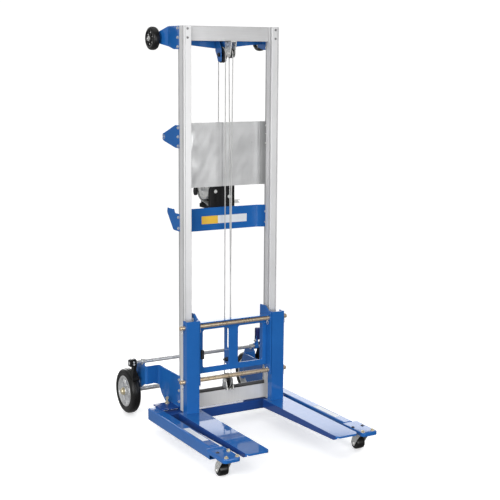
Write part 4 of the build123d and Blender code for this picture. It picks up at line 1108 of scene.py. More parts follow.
# handle plates and tube
lh = plate_x(fillet([(45, 1204, 3), (45, 1299, 3), (95, 1299, 22), (197, 1262, 20), (218, 1256, 12), (218, 1230, 12), (197, 1224, 20), (95, 1204, 22)], 6, 6), 211, 216, b=0.9)
emit("left_handle_plate", lh.mirror(), BLUE, "chassis", ("left_handle_bracket",), "blue_paint")
DY = 150.5 + 57.6 * math.cos(math.radians(56.25))
DZ = 1023 + 57.6 * math.sin(math.radians(56.25))
rh = plate_x(fillet([(45, 1038, 3), (45, 1299, 3), (95, 1299, 22), (197, 1262, 20), (218, 1256, 12), (218, 1230, 12), (197, 1224, 20), (118, 1206, 16), (118, 1106, 16),
                     (168, 1094, 14), (DY + 10, DZ + 19, 14), (DY + 19, DZ + 9, 10), (DY + 19, DZ - 9, 10), (DY + 10, DZ - 19, 14), (168, 1038, 14)], 6, 6),
             211, 216, [circle(DY, DZ, 7.1, 28)], b=0.9)
emit("right_handle_plate", rh, BLUE, "chassis", ("right_handle_bracket",), "blue_paint")
tube = lathe([(7.5, -218), (10, -218), (10, 218), (7.5, 218)], 0, 203, 1243, "x", 40, 0.6)
emit("push_handle_tube", tube, STEEL, "chassis", ("push_handle",), "bright_steel")

# winch crossmember: folded face, shelf and side plates
face = Bend([(203, 65.4), (168.6, 80.25), (-168.6, 80.25), (-203, 65.4)], 5, 4)
L = face.run[-1]
cross = bent(rect(0.3, L - 0.3, 850, 946.8, 2, 3), face, 4.5, b=1.0)
cross += plate_z(fillet([(-52, 81.5, 3), (76, 81.5, 3), (76, 228, 5), (-36, 228, 5), (-36, 118, 4), (-52, 118, 4)], 4, 5), 943, 946.9, b=0.9)
cross += plate_z(rect(-165, 165, 80, 110, 3), 850, 854, b=0.9)
for s in (-1, 1):
    sp = fillet([(45, 858, 3), (45, 932, 3), (104, 932, 4), (110, 935, 5), (114, 942, 5), (116, 947, 2), (173, 947, 4), (176, 927, 10), (117, 858, 16)], 3, 5)
    if s > 0:
        sp = fillet([(45, 858, 3), (45, 928, 3), (108, 928, 6), (117, 920, 6), (117, 858, 8)], 3, 5)
    cross += plate_x(sp, 211, 216, b=0.9).on(s)
    cross += plate_y(rect(166, 215.5, 860, 930, 3, 4), 78.2, 82.3, b=0.9).on(s)
emit("winch_shelf", cross, BLUE, "chassis", ("winch_crossmember",), "blue_paint")

# plain blanks on the crossmember and on the legs
blank = plate_y(rect(-102, -24, 878, 912, 2, 4), 77.55, 78.1, b=0.12, seg=2)
blank += plate_y(rect(-24, 117, 878, 912, 2, 4), 77.6, 78.1, b=0.12, seg=2, mat=1)
emit("crossmember_blank", blank, [PLAIN_YELLOW, PLAIN_PALE], "chassis")
for word, s in SIDES:
    strip = plate_z(rect(299, 326, -360, -190, 2, 4), 93.9, 94.35, b=0.12, seg=2).on(s)
    emit(word + "_leg_blank", strip, PLAIN_PALE, "chassis")

# guard sheet: thin, slightly crumpled, with slanted ends and tabs on the stems
sheet_line = Bend([(202.25, 59.2), (202.25, 64.6), (176.2, 76.75), (-176.2, 76.75), (-202.25, 64.6), (-202.25, 59.2)], 2.2, 4)
us = []
u0, u1 = 0.0, sheet_line.run[-1]
for v in list(sheet_line.run) + [u0 + (u1 - u0) * i / 110 for i in range(111)]:
    if all(abs(v - w) > 0.25 for w in us):
        us.append(v)
us.sort()
vs = [1036 + 270 * i / 72 for i in range(73)]
guard = Geo()


def crumple(u, z):
    e = min(1.0, (z - 1036) / 30, (1306 - z) / 30)
    a = noise.noise(Vector((u * 0.011, z * 0.009, 1.7))) * 1.0
    b = noise.noise(Vector((u * 0.03 + z * 0.012, z * 0.02, 4.1))) * 0.35
    d = (u - 366) / 20
    fold = 1.6 * math.exp(-d * d) * noise.noise(Vector((u * 0.025, z * 0.026, 9.3)))
    # dent along the left edge, deepest at about two thirds of the height
    start = 350 + 34 * min(1.0, ((z - 1231) / 78) ** 2)
    s = min(1.0, max(0.0, (u - start) / 36))
    return (a + b + fold) * (0.35 + 0.65 * max(0.0, e)) + 5.0 * s * s * (3 - 2 * s)


def sheet_pt(u, z, w):
    p = sheet_line.place(u, z, w)
    flat = max(0.0, min(1.0, (u - 16) / 26, (405 - u) / 22))
    flat *= flat * (3 - 2 * flat)
    return Vector((p[0], p[1] + crumple(u, z) * flat, p[2]))


for w in (-0.75, 0.75):
    for u in us:
        for z in vs:
            guard.v.append(sheet_pt(u, z, w))
nu, nv = len(us), len(vs)
for layer in (0, 1):
    o = layer * nu * nv
    for i in range(nu - 1):
        for j in range(nv - 1):
            q = (o + i * nv + j, o + (i + 1) * nv + j, o + (i + 1) * nv + j + 1, o + i * nv + j + 1)
            guard.face(q if layer else q[::-1])
o = nu * nv
for i in range(nu - 1):
    for j in (0, nv - 1):
        guard.face((i * nv + j, (i + 1) * nv + j, o + (i + 1) * nv + j, o + i * nv + j))
for j in range(nv - 1):
    for i in (0, nu - 1):
        guard.face((i * nv + j, i * nv + j + 1, o + i * nv + j + 1, o + i * nv + j))
for s in (-1, 1):
    # tab on the stem and its rivets
    tab = plate_x(rect(64.2, 75, 1036.3, 1305.7, 1.5, 3), 201.5, 202.95, b=0.4, seg=2)
    for z in (1060, 1168, 1276):
        tab += dome(3.6, 201.6, -1.4, 0, 70.5, z, "x")
    guard += tab.on(s)
# faces of the right slanted end take the darker sheet copy: painted shade
for i, f in enumerate(guard.f):
    if sum(guard.v[k].x for k in f) / len(f) > 176.4:
        guard.m[i] = 1
emit("guard_sheet_panel", guard, [SHEET, SHADE], "chassis", ("guard_sheet",), "sheet_alu", angle=50)

# bracket bolts
bb = Geo()
for y, z in [(67, 1691), (67, 1653), (67, 1616), (67, 1288), (67, 1251), (67, 1213), (66, 917), (66, 871), (66, 218), (66, 170), (66, 122)]:
    for s in (-1, 1):
        one = washer(3.0, 6.6, 216, 217.0, 0, y, z, "x")
        one += hexa(5.6, 217.0, 220.4, 0, y, z, "x", phase=0.2 + 0.01 * z, dish=0.5)
        one += hexa(5.6, 203.0, 199.0, 0, y, z, "x", phase=0.5 + 0.02 * z, bore=2.6)
        one += stud(2.9, 197.2, 203.0, 0, y, z, "x")
        bb += one.on(s)
emit("bracket_bolt_set", bb, ZINC, "chassis", ("bracket_bolts",), "zinc_steel")

# ================================================================== winch
wf = plate_z(fillet([(-60, 88.2, 3), (64, 88.2, 3), (64, 218, 4), (-34, 218, 3), (-34, 120, 4), (-60, 120, 4)], 3, 4), 936, 940, b=0.9)
# lip of the base, turned down over the left edge of the shelf
wf += plate_z(rect(-40, -33, 121, 217.5, 1.5, 3), 936.2, 939.8, b=0.8)
wf += plate_x(rect(121, 217.5, 922, 939.8, 2.5, 4), -40, -36.3, b=0.8)
cheek = fillet([(88, 938, 1), (88, 1010, 10), (92, 1020, 8), (102, 1028, 10), (140, 1034, 14), (160, 1052, 12), (166, 1072, 10), (176, 1080, 8), (190, 1080, 8), (200, 1072, 10),
                (214, 1040, 14), (216, 938, 1)], 6, 5)
for x0 in (-34, 52):
    wf += plate_x(cheek, x0, x0 + 4, [circle(150.5, 1012, 8.1, 28), circle(DY, DZ - 11, 7.1, 28)], b=0.9)
cover = fillet([(-57, 938, 2.5), (62, 938, 2.5), (62, 1033, 15), (-57, 1033, 15)], 4, 7)
wf += plate_y(cover, 88, 91.5, b=1.4)
# folded side lips of the cover
for x0, x1 in ((-57, -54), (59, 62)):
    wf += plate_x(fillet([(89.5, 940, 1), (104, 940, 1), (104, 1006, 6), (98, 1018, 6), (89.5, 1018, 1)], 2, 4), x0, x1, b=0.9)
for x, z in ((-30, 1002), (36, 977)):
    wf += washer(3, 7.4, 88, 86.8, x, 0, z, "y", mat=1)
    wf += dome(6.0, 86.9, -3.4, x, 0, z, "y", mat=1, socket=2.6)
for x, y in ((-47, 109), (-18, 200), (56, 112), (56, 200)):
    wf += washer(4, 8.6, 940, 941.4, x, y, 0, "z", mat=1)
    wf += hexa(7.2, 941.4, 946.6, x, y, 0, "z", mat=1, phase=0.4, dish=0.5)
for x0, d in ((-34, -1), (56, 1)):
    for y, z in ((104, 950), (204, 950), (196, 1018)):
        if d < 0 and z > 1000:
            continue
        wf += dome(5.2, x0, d * 2.6, 0, y, z, "x", mat=1, socket=2.2)
wf += rod(-60, 56, 207, 993, 5, 0.8, 28, 1)
wf += hexa(8.2, 56, 61, 0, 207, 993, "x", mat=1, phase=0.3)
wf += rod(50, 66.5, 118, 986, 4, 0.6, 24, 1)
# curved guard strip from behind the gear down to the base
strip = []
for i in range(25):
    a = math.radians(12 - 87 * i / 24)
    strip.append((math.cos(a), math.sin(a)))
run_out = [(104 + 1.0, 945.4), (104 + 1.0, 942.8)]
guard_out = [(150.5 + 53.0 * c, 1012 + 53.0 * s_) for c, s_ in strip] + run_out + [(150.5 + 55.5 * c, 1012 + 55.5 * s_) for c, s_ in reversed(strip)]
wf += plate_x(fillet(guard_out, 0.5, 2), -60, -36.5, b=0.3, mat=1)
# fluted end cap on the tie rod
flutes = []
for i in range(96):
    a = 2 * math.pi * i / 96
    flutes.append((207 + 0.66 * (17.0 + 0.95 * math.cos(16 * a)) * math.cos(a), 993 + (17.0 + 0.95 * math.cos(16 * a)) * math.sin(a)))
wf += loft(flutes, [(0.9, -58.6), (0.3, -59.2), (0, -60.2), (0, -69), (0.3, -70.0), (0.9, -70.6)]).map(lambda u, v, w: (w, u, v)).paint(2)
wf += lathe([(0, -70.3), (9.4, -70.3), (9.0, -71.2), (7.5, -72), (0, -72)], 0, 207, 993, "x", 48, 0.4, 2)
emit("winch_housing", wf.move(z=11), [BLACK, ZINC, PLASTIC], "chassis", ("winch_frame",), "black_paint")

# drum with flanges, ratchet and the first rope turns
drum = lathe([(0, -63), (11, -63), (12, -62), (12, -56.2), (8, -56.2), (8, -27), (46, -27), (47, -26), (47, -25), (46, -24), (28.2, -24), (28.2, 43), (46, 43), (47, 44),
              (47, 45), (46, 46), (8, 46), (8, 57.5), (17, 57.5), (18, 58.5), (18, 65), (17, 66), (0, 66)], 0, 150.5, 1012, "x", 72, 0.5)
teeth = []
for i in range(20):
    a = 2 * math.pi * i / 20
    st = 2 * math.pi / 20
    teeth += [(150.5 + 27 * math.cos(a), 1012 + 27 * math.sin(a), 0.4), (150.5 + 23 * math.cos(a + 0.08 * st), 1012 + 23 * math.sin(a + 0.08 * st), 0.6)]
drum += plate_x(fillet(teeth, 0.5, 2), 58, 65, b=0.5)
coil = []
for i in range(8 * 48 + 1):
    a = math.pi - 2 * math.pi * i / 48
    coil.append((5.0 * i / 48, 150.5 + 31 * math.cos(a), 1012 + 31 * math.sin(a)))
drum += rope(coil, 2.35, 19, 2.1).paint(1)
emit("winch_drum_reel", drum.move(z=11), [ZINC, ROPE], "drum", ("winch_drum",), "zinc_steel")


def tooth_outline(teeth_n, phase, y, z, mod=1.6):
    pr = mod * teeth_n / 2
    tip, root = pr + 0.8 * mod, pr - 1.25 * mod
    st = 2 * math.pi / teeth_n
    pts = []
    for i in range(teeth_n):
        a = phase + i * st
        for r, f in ((root, -0.56), (pr, -0.40), (tip, -0.18), (tip, 0.18), (pr, 0.40), (root, 0.56)):
            pts.append((y + r * math.cos(a + f * st / 2), z + r * math.sin(a + f * st / 2)))
    return pts


MESH = math.radians(56.25)
gear = plate_x(tooth_outline(60, MESH, 150.5, 1012), -56, -36, [circle(150.5, 1012, 43, 72)], b=0.35, seg=2)
gear += lathe([(43.3, -52), (43.3, -36.2), (14, -36.2), (14, -39), (40.6, -39), (42.2, -41), (42.6, -52)], 0, 150.5, 1012, "x", 72, 0.6)
gear += lathe([(8.02, -56), (14, -56), (15, -55), (15, -36.1), (8.02, -36.1)], 0, 150.5, 1012, "x", 40, 0.5)
for k in range(6):
    a = math.radians(60 * k + 25)
    gear += dome(3.4, -38.9, -2.0, 0, 150.5 + 29 * math.cos(a), 1012 + 29 * math.sin(a), "x")
# the gear takes the paler zinc copy: painted light in its shaded dish
emit("winch_gear_wheel", gear.move(z=11), ZINC_PAINTED_LIGHT, "drum", ("winch_gear",), "zinc_steel")

drive = rod(-63, 236, DY, DZ, 7, 0.8, 32)
drive += plate_x(tooth_outline(12, MESH + math.pi + math.pi / 12, DY, DZ), -57, -35, b=0.4, seg=2)
drive += lathe([(6.5, 218), (11, 218), (11, 225), (6.5, 225)], 0, DY, DZ, "x", 36, 0.6)
drive += hexa(10.4, 234.1, 240, 0, DY, DZ, "x", dish=0.5)
emit("crank_drive_shaft", drive, ZINC, "crank", ("drive_shaft",), "zinc_steel")

arm = []
for i in range(25):
    a = math.pi + math.pi * i / 24
    arm.append((DY + 17 * math.cos(a), DZ + 17 * math.sin(a)))
for i in range(25):
    a = math.pi * i / 24
    arm.append((DY + 13 * math.cos(a), DZ + 165 + 13 * math.sin(a)))
ca = plate_x(arm, 226, 234, [circle(DY, DZ, 7.05, 28)], b=1.4)
ca += rod(233, 322, DY, DZ + 165, 4.9, 0.6, 24)
ca += dome(9, 319.6, 3.4, 0, DY, DZ + 165, "x")
ca += hexa(8, 226, 221.4, 0, DY, DZ + 165, "x", dish=0.5)
emit("crank_arm_bar", ca, ZINC, "crank", ("crank_arm",), "zinc_steel")
gp = [(5.2, 236), (11.5, 236), (14.5, 239), (14.5, 244)]
for i in range(9):
    x = 247 + i * 6.6
    gp += [(13.4, x), (12.4, x + 1.4), (12.4, x + 2.4), (13.4, x + 3.8)]
gp += [(14, 308), (14.5, 313), (12, 318.4), (5.2, 318.4)]
emit("crank_hand_grip", lathe(gp, 0, DY, DZ + 165, "x", 48, 0.6), PLASTIC, "grip", ("crank_grip",), "black_plastic")
refine("ratchet_pawl_lever", "ratchet_pawl", ZINC, "pawl", 0.7, "zinc_steel")
lip = plate_y(fillet([(65, 971, 1), (81, 971, 2), (93.5, 959, 2), (92, 956, 1.5), (65, 956, 1)], 1, 3), 98.2, 101.4, b=0.6)
emit("pawl_finger_lip", lip, ZINC, "pawl", (), "zinc_steel")


# ================================================================== pulleys
def sheave(name, node_name, body, r, bore, y, z):
    bottom, rim = r - 2.75, r + 3.0
    g = lathe([(bore, -6.5), (bore + 5, -6.5), (bore + 6, -5.2), (rim - 7, -5.2), (rim - 5.5, -6.5), (rim - 1, -6.5), (rim, -5.5), (rim, -4.6), (bottom + 1.2, -2.4),
               (bottom, -1.2), (bottom, 1.2), (bottom + 1.2, 2.4), (rim, 4.6), (rim, 5.5), (rim - 1, 6.5), (rim - 5.5, 6.5), (rim - 7, 5.2), (bore + 6, 5.2),
               (bore + 5, 6.5), (bore, 6.5)], 0, y, z, "x", 72, 0.4)
    emit(name, g, SHEAVE, body, (node_name,), "sheave_steel")


sheave("top_pulley_wheel", "top_pulley_sheave", "top_pulley", 30.25, 5.06, 89.25, 1585)
sheave("upper_sheave_wheel", "upper_sheave", "upper_pulley", 16, 4.06, 13, 1590)
sheave("lower_sheave_wheel", "lower_sheave", "lower_pulley", 29.5, 5.06, 29.5, 196)

blk = Geo()
bo = fillet([(74, 1560, 5), (80, 1556, 6), (102, 1556, 10), (112, 1580, 20), (126, 1600, 16), (126, 1662, 2), (112, 1662, 6), (74, 1608, 16)], 5, 5)
for x0 in (-13, 9):
    blk += plate_x(bo, x0, x0 + 4, b=0.9)
blk += plate_y(rect(-13, 13, 1640, 1662, 1.5, 3), 122, 126, b=0.8)
blk += rod(-17, 17, 89.25, 1585, 4.95, 0.6, 28, 1)
for d in (-1, 1):
    blk += washer(5, 9.4, d * 13, d * 14.4, 0, 89.25, 1585, "x", mat=1)
    blk += hexa(8.4, d * 14.4, d * 19.6, 0, 89.25, 1585, "x", mat=1, phase=0.3, dish=0.5)
emit("top_pulley_hanger", blk, [BLUE, DARKBOLT], "chassis", ("top_pulley_block",), "blue_paint")

ub = Geo()
uo = fillet([(-14, 1640, 1.5), (42, 1640, 1.5), (40, 1606, 12), (28, 1580, 8), (20, 1574, 6), (6, 1574, 8), (-2, 1582, 8), (-7, 1606, 12)], 4, 5)
ub += plate_z(rect(-13, 13, -14, 42, 1.5, 3), 1636, 1639.95, b=0.8)
for x0 in (-13, 9):
    ub += plate_x(uo, x0, x0 + 4, b=0.8)
ub += rod(-15, 15, 13, 1590, 3.95, 0.5, 24)
for d in (-1, 1):
    ub += washer(4, 7.6, d * 13, d * 14.2, 0, 13, 1590, "x")
    ub += hexa(6.6, d * 14.2, d * 18.4, 0, 13, 1590, "x", phase=0.2, dish=0.4)
emit("upper_sheave_fork", ub, ZINC, "inner_mast", ("upper_sheave_bracket",), "zinc_steel")

lb = Geo()
lo_ = fillet([(0, 160, 1.5), (54, 160, 1.5), (52, 166, 4), (38, 206, 8), (34, 211, 4), (25, 211, 4), (20, 206, 8), (2, 166, 4)], 3, 5)
for x0 in (-17, 13):
    lb += plate_x(lo_, x0, x0 + 4, b=0.8)
lb += plate_z(rect(-17, 17, 0, 54, 1.5, 3), 160, 163, b=0.7)
lb += rod(-20, 20, 29.5, 196, 4.95, 0.6, 24)
for d in (-1, 1):
    lb += washer(5, 9, d * 17, d * 18.4, 0, 29.5, 196, "x")
    lb += hexa(7.8, d * 18.4, d * 23, 0, 29.5, 196, "x", phase=0.4, dish=0.4)
    lb += dome(4.2, 162.9, 2.4, 0, 27 + d * 23, 0, "z", socket=1.8)
emit("lower_sheave_fork", lb, ZINC, "inner_mast", ("lower_sheave_bracket",), "zinc_steel")

# ================================================================== wire rope
def arc(cy, cz, r, a0, a1, x=0.0, n=48):
    return [(x, cy + r * math.cos(math.radians(a0 + (a1 - a0) * i / n)), cz + r * math.sin(math.radians(a0 + (a1 - a0) * i / n))) for i in range(n + 1)]


emit("hoist_rope_a", rope([(0, 119.5, 1023)] + arc(89.25, 1585, 30.25, 0, 180)), ROPE, "chassis", ("rope_a",), "rope_steel", weighted=False)
rb = emit("hoist_rope_b", rope([(0, 59, 1585), (0, 59, 196)]), ROPE, "chassis", ("rope_b",), "rope_steel", weighted=False)
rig.squash(rb, "mast_lift", axis=(0, 0, 1), anchor=(0, (59 + SHIFT) / 1000, 1.585), keep=(1.389 - 1.071285) / 1.389)
sy, sz = 13 - 29.5, 1590 - 196
lean = math.degrees(math.asin((29.5 + 16) / math.hypot(sy, sz))) + math.degrees(math.atan2(sy, sz))
emit("hoist_rope_c", rope(arc(29.5, 196, 29.5, 0, -(180 + lean)) + arc(13, 1590, 16, -lean, 180)), ROPE, "inner_mast", ("rope_c",), "rope_steel", weighted=False)
rd = emit("hoist_rope_d", rope([(0, -3, 1590), (-8, -3, 340.2)]), ROPE, "inner_mast", ("rope_d",), "rope_steel", weighted=False)
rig.squash(rd, "carriage_lift", axis=(0, 0, 1), anchor=(0, (-3 + SHIFT) / 1000, 1.590), keep=(1.2498 - 1.071285) / 1.2498)
join = (2.0, 318.0)
aim = math.degrees(math.atan2(join[1] - 298, join[0] - 6))
opening = math.degrees(math.acos(9 / math.hypot(join[0] - 6, join[1] - 298)))
eye = rope([(-8, -3, 322)] + arc(6, 298, 9, 180, 360 + aim - opening, -8) + [(-8, join[0], 322)], 2.4, 19, 1.6)
eye += plate_z(rect(-11.3, -4.7, -6.3, 5.3, 3.2, 5), 316, 340, b=1.2).paint(1)
emit("rope_eye_end", eye, [ROPE, ZINC], "carriage", ("rope_end",), "rope_steel")

# ================================================================== sliding mast
for word, s in SIDES:
    prof = [(189, 0, 1.6), (216.2, 0, 0.2), (216.8, 1.6, 0.2), (218.2, 1.6, 0.2), (218.8, 0, 0.2), (223, 0, 1.2), (223, 7.0, 0.3), (220.6, 7.8, 0.3), (220.6, 14.8, 0.3), (223, 15.6, 0.3), (223, 42, 2.0), (214, 42, 0.8), (214, 37, 0.5),
            (218, 37, 0.6), (218, 21.5, 0.6), (194, 21.5, 0.6), (194, 37, 0.6), (200, 37, 0.5), (200, 42, 0.8), (189, 42, 1.6), (189, 18, 0.6), (200, 18, 0.6),
            (200, 5, 0.6), (189, 5, 0.6)]
    rail = plate_z(fillet(prof, 0.6, 3), 92, 1700, [rect(203.5, 218.6, 4, 18, 1, 3)], b=0.25)
    for i, f in enumerate(rail.f):
        # floor of the two grooves takes the darker mast copy: painted shade in the grooves
        c = sum((rail.v[k] for k in f), Vector()) / len(f)
        if (219.9 < c.x < 222.8 and 7.1 < c.y < 15.5) or (216.3 < c.x < 218.7 and 0.1 < c.y < 1.7):
            rail.m[i] = 1
    emit(word + "_inner_mast_rail", rail.on(s), [MAST, SHADED_MAST], "inner_mast", (word + "_inner_rail",), "mast_alu")
    sc = Geo()
    for z in (1688, 1652, 150, 112):
        sc += washer(2.2, 5.0, 0, -0.7, 206, 0, z, "y")
        sc += dome(4.2, -0.6, -2.2, 206, 0, z, "y", socket=1.9)
    emit(word + "_rail_screws", sc.on(s), SCREW, "inner_mast")

tb = plate_x(fillet([(28, 1640, 2), (42, 1640, 0.8), (42, 1644, 0.8), (32, 1644, 1.2), (32, 1696, 1.2), (42, 1696, 0.8), (42, 1700, 0.8), (28, 1700, 2)], 1, 4), -188.9, 188.9, b=0.4)
emit("inner_top_channel", tb, BAR, "inner_mast", ("inner_top_bar",), "bar_alu")
bbm = plate_x(fillet([(18, 98, 2), (42, 98, 2), (42, 160, 0.4), (38, 160, 0.4), (38, 102, 1.2), (22, 102, 1.2), (22, 160, 0.8), (18, 160, 0.8)], 1, 4), -188.9, 188.9, b=0.25)
for x0, x1 in ((-188.9, -18), (18, 188.9)):
    bbm += plate_y(rect(x0, x1, 158.5, 170, 1, 3), 38, 42, b=0.5)
for i, f in enumerate(bbm.f):
    # inside of the channel painted near-black: painted shade
    c = sum((bbm.v[k] for k in f), Vector()) / len(f)
    if 21.5 < c.y < 38.4 and c.z > 100:
        bbm.m[i] = 1
emit("inner_bottom_channel", bbm, [MAST, CHANNEL_SHADE], "inner_mast", ("inner_bottom_bar",), "bar_alu")

# ================================================================== carriage
windows = [rect(-143, -17, 281, 444, 10, 6), rect(27, 149, 281, 444, 10, 6)]
car = plate_y(rect(-171, 171, 256, 480, 3, 4), -12, -6.5, windows, b=0.9)
car += plate_z(rect(-171, 171, -38, -6.6, 3, 4), 478, 482.5, b=1.4)
ck = fillet([(-42, 214, 4), (-8, 214, 8), (8, 247, 12), (50, 247, 5), (50, 508, 4), (46, 514, 4), (8, 514, 16), (-19, 496, 12), (-42, 490, 6)], 5, 5)
for s in (-1, 1):
    car += plate_x(ck, 170, 176, b=0.9).on(s)
rib = fillet([(-7.4, 276, 1), (-7.4, 446, 1), (26, 446, 6), (32, 438, 6), (32, 300, 8), (24, 276, 10)], 4, 5)
slot_hole = []
for i in range(13):
    a = math.pi * i / 12
    slot_hole.append((3 + 9 * math.cos(a), 428 + 9 * math.sin(a)))
for i in range(13):
    a = math.pi + math.pi * i / 12
    slot_hole.append((3 + 9 * math.cos(a), 356 + 9 * math.sin(a)))
car += plate_x(rib, -17, -12, [slot_hole], b=0.45)
car += rod(-34, -5, 6, 298, 5, 0.7, 28, 1)
car += washer(5, 9.8, -17, -18.8, 0, 6, 298, "x", mat=1)
car += hexa(8.6, -18.8, -25.4, 0, 6, 298, "x", bore=4.9, both=True, mat=1)
car += lathe([(4.9, -5.4), (7.2, -5.4), (7.2, -3.6), (0, -3.6), (0, -5.0)], 0, 6, 298, "x", 28, 0.3, 1)
stop = loft(rect(-158, -142, 320, 360, 5, 5), [(4, 12.1), (0.6, 12.2), (0, 13), (0, 22), (0.8, 24.4), (3, 26)]).map(lambda u, v, w: (u, -w, v))
stop += hexa(5.4, -24.5, -29.0, -150, 0, 340, "y", mat=1, phase=0.3, dish=0.5)
emit("carriage_stop_block", stop, [PLASTIC, DARKBOLT], "carriage")
emit("carriage_plate", car, [BLUE, DARKBOLT], "carriage", ("carriage_frame",), "blue_paint")

for word, s in SIDES:
    # the blades' low side flanges take the darker blue copy: painted shade
    refine(word + "_fork_blade", word + "_fork", BLUE, "carriage", 1.6, "blue_paint", 3, low=SHADED_BLUE)

rods = Geo()
for z in (466, 234):
    rods += rod(-258, 258, -26, z, 9, 1.6, 40)
emit("fork_carry_rods", rods, YELLOW, "carriage", ("fork_rods",), "yellow_zinc")
pins = Geo()
for x in (-247, 247, -164, 164):
    for z in (466, 234):
        pins += rod(z - 15, z + 12, -26, 0, 2.9, 0.6, 20, 0, "z", x)
        pins += dome(4.6, z + 11.4, 2.6, x, -26, 0, "z")
        ringp = [(x + 0.15 * 8.5 * math.sin(2 * math.pi * i / 28), -26 + 8.5 * math.sin(2 * math.pi * i / 28), z - 20 - 8.5 * math.cos(2 * math.pi * i / 28)) for i in range(28)]
        pins += wire(ringp, 1.1, 1.2, 8, True)
emit("rod_hitch_pins", pins, ZINC, "carriage", ("hitch_pins",), "zinc_steel")
refine("carriage_glide_blocks", "carriage_glides", NYLON, "carriage", 1.2, "glide_nylon")

# ================================================================== floor, light and camera
bm = bmesh.new()
bmesh.ops.create_circle(bm, cap_ends=True, segments=96, radius=2.4)
mesh = bpy.data.meshes.new("floor")
bm.to_mesh(mesh)
bm.free()
floor = bpy.data.objects.new("floor", mesh)
scene.collection.objects.link(floor)
fm, nt, b = shader("floor_pale")
tone = grain(nt, size=1.5, detail=4)
wire_up(nt, b, ramp(nt, tone, [(0.3, (0.91, 0.91, 0.91)), (0.7, (0.94, 0.94, 0.94))]), 0.6, None, Specular_IOR_Level=0.2)
b.inputs["Emission Color"].default_value = (1, 1, 1, 1)
b.inputs["Emission Strength"].default_value = 0.42
far = node(nt, "ShaderNodeVectorMath", operation="LENGTH")
nt.links.new(coords(nt), far.inputs[0])
clear = node(nt, "ShaderNodeBsdfTransparent")
both = node(nt, "ShaderNodeMixShader")
nt.links.new(span(nt, far.outputs["Value"], 0.0, 1.0, 1.1, 1.9), both.inputs[0])
nt.links.new(b.outputs["BSDF"], both.inputs[1])
nt.links.new(clear.outputs["BSDF"], both.inputs[2])
nt.links.new(both.outputs["Shader"], nt.nodes["Material Output"].inputs["Surface"])
mesh.materials.append(fm)
floor.location = (0, 0, -0.0005)
floor.visible_glossy = False
floor.visible_diffuse = False
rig.stage(floor)

world = bpy.data.worlds.new("studio")
scene.world = world
world.use_nodes = True
wt = world.node_tree
wt.nodes.clear()
out = node(wt, "ShaderNodeOutputWorld")
back = node(wt, "ShaderNodeBackground")
env = node(wt, "ShaderNodeBackground")
pick = node(wt, "ShaderNodeMixShader")
path = node(wt, "ShaderNodeLightPath")
back.inputs["Color"].default_value = (1, 1, 1, 1)
back.inputs["Strength"].default_value = 1.05
tcw = node(wt, "ShaderNodeTexCoord")
sep = node(wt, "ShaderNodeSeparateXYZ")
wt.links.new(tcw.outputs["Generated"], sep.inputs["Vector"])
# grey below the horizon, a bright band above it at the right rear, softer higher up; darker toward the front right
height = span(wt, sep.outputs["Z"], 0.0, 1.0, -1.0, 1.0)
sky = ramp(wt, height, [(0.0, 0.30), (0.33, 0.40), (0.41, 0.16), (0.49, 0.12), (0.515, 0.80), (0.660, 0.75), (0.664, 0.20), (0.78, 0.22), (0.90, 0.55), (1.0, 0.6)])
side_dir = math_node(wt, "SUBTRACT", sep.outputs["X"], sep.outputs["Y"])
turn = span(wt, side_dir, 1.0, 0.40, -0.6, 1.2)
rear = math_node(wt, "MULTIPLY", span(wt, sep.outputs["Y"], 0.0, 1.0, 0.45, 0.7), span(wt, sep.outputs["X"], 0.0, 1.0, 0.0, 0.3))
band = ramp(wt, height, [(0.0, 0.0), (0.495, 0.0), (0.515, 2.0), (0.6612, 2.0), (0.6636, 0.0), (0.6654, 0.0), (0.6668, 0.6), (0.6690, 0.6), (0.6705, 0.0), (1.0, 0.0)])
tint = blend(wt, 1.0, blend(wt, 1.0, sky, turn, "MULTIPLY"), blend(wt, 1.0, band, rear, "MULTIPLY"), "ADD")
wt.links.new(tint, env.inputs["Color"])
env.inputs["Strength"].default_value = 1.0
wt.links.new(path.outputs["Is Camera Ray"], pick.inputs["Fac"])
wt.links.new(env.outputs["Background"], pick.inputs[1])
wt.links.new(back.outputs["Background"], pick.inputs[2])
wt.links.new(pick.outputs["Shader"], out.inputs["Surface"])


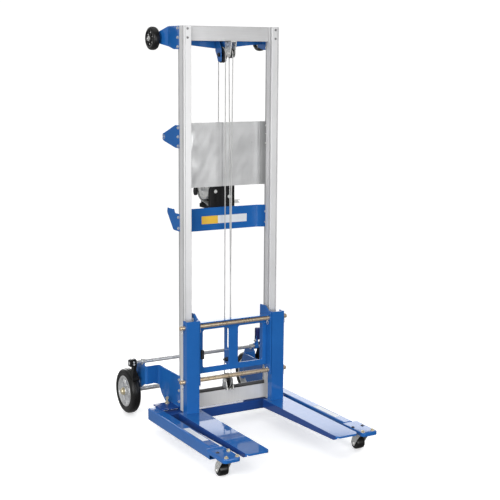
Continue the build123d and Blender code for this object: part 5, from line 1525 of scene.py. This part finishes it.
def area(name, place, aim_at, size, power):
    light = bpy.data.lights.new(name, "AREA")
    light.shape = "RECTANGLE"
    light.size, light.size_y = size
    light.energy = power
    ob = bpy.data.objects.new(name, light)
    scene.collection.objects.link(ob)
    ob.location = place
    ob.rotation_euler = (Vector(aim_at) - Vector(place)).to_track_quat("-Z", "Y").to_euler()
    return ob


area("key_light", (-3.2, -2.6, 2.2), (0, 0, 0.7), (2.6, 2.6), 110)
area("front_light", (0.6, -4.2, 1.1), (0, 0, 0.7), (2.2, 2.2), 80)
area("low_light", (-2.4, -0.9, 0.45), (0, -0.15, 0.1), (1.8, 0.7), 14)
area("right_fill", (3.5, 0.8, 1.7), (0, 0.1, 0.8), (1.6, 2.0), 60)
area("rear_fill", (0.4, 4.0, 1.7), (0, 0, 0.8), (1.6, 1.6), 32)
area("top_light", (0.2, 0.4, 4.6), (0, 0, 0.5), (3.5, 3.5), 18)

cam_data = bpy.data.cameras.new("photo_view")
cam_data.sensor_fit = "HORIZONTAL"
cam_data.sensor_width = 36.0
cam_data.lens = 1139.1044523871128 / 500 * 36
cam_data.clip_start = 0.05
cam_data.clip_end = 200
cam = bpy.data.objects.new("photo_view", cam_data)
scene.collection.objects.link(cam)
yaw, pit, rol = (math.radians(v) for v in (29.990197391980146, 9.741401088506983, 0.40735223092642087))
fwd = Vector((math.sin(yaw) * math.cos(pit), math.cos(yaw) * math.cos(pit), -math.sin(pit)))
rgt = Vector((math.cos(yaw), -math.sin(yaw), 0))
upw = rgt.cross(fwd)
r_ = rgt * math.cos(rol) + upw * math.sin(rol)
u_ = -rgt * math.sin(rol) + upw * math.cos(rol)
rot = Matrix((r_, u_, -fwd)).transposed().to_4x4()
cam.matrix_world = Matrix.Translation((-2.303190, -4.095625, 1.587064)) @ rot
scene.camera = cam
scene.view_settings.view_transform = "Standard"
scene.view_settings.look = "None"

bpy.context.view_layer.update()
with open("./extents.json", "w") as f:
    json.dump({"cad": CAD_BOX, "visual": [list(c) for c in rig.bounds()]}, f)
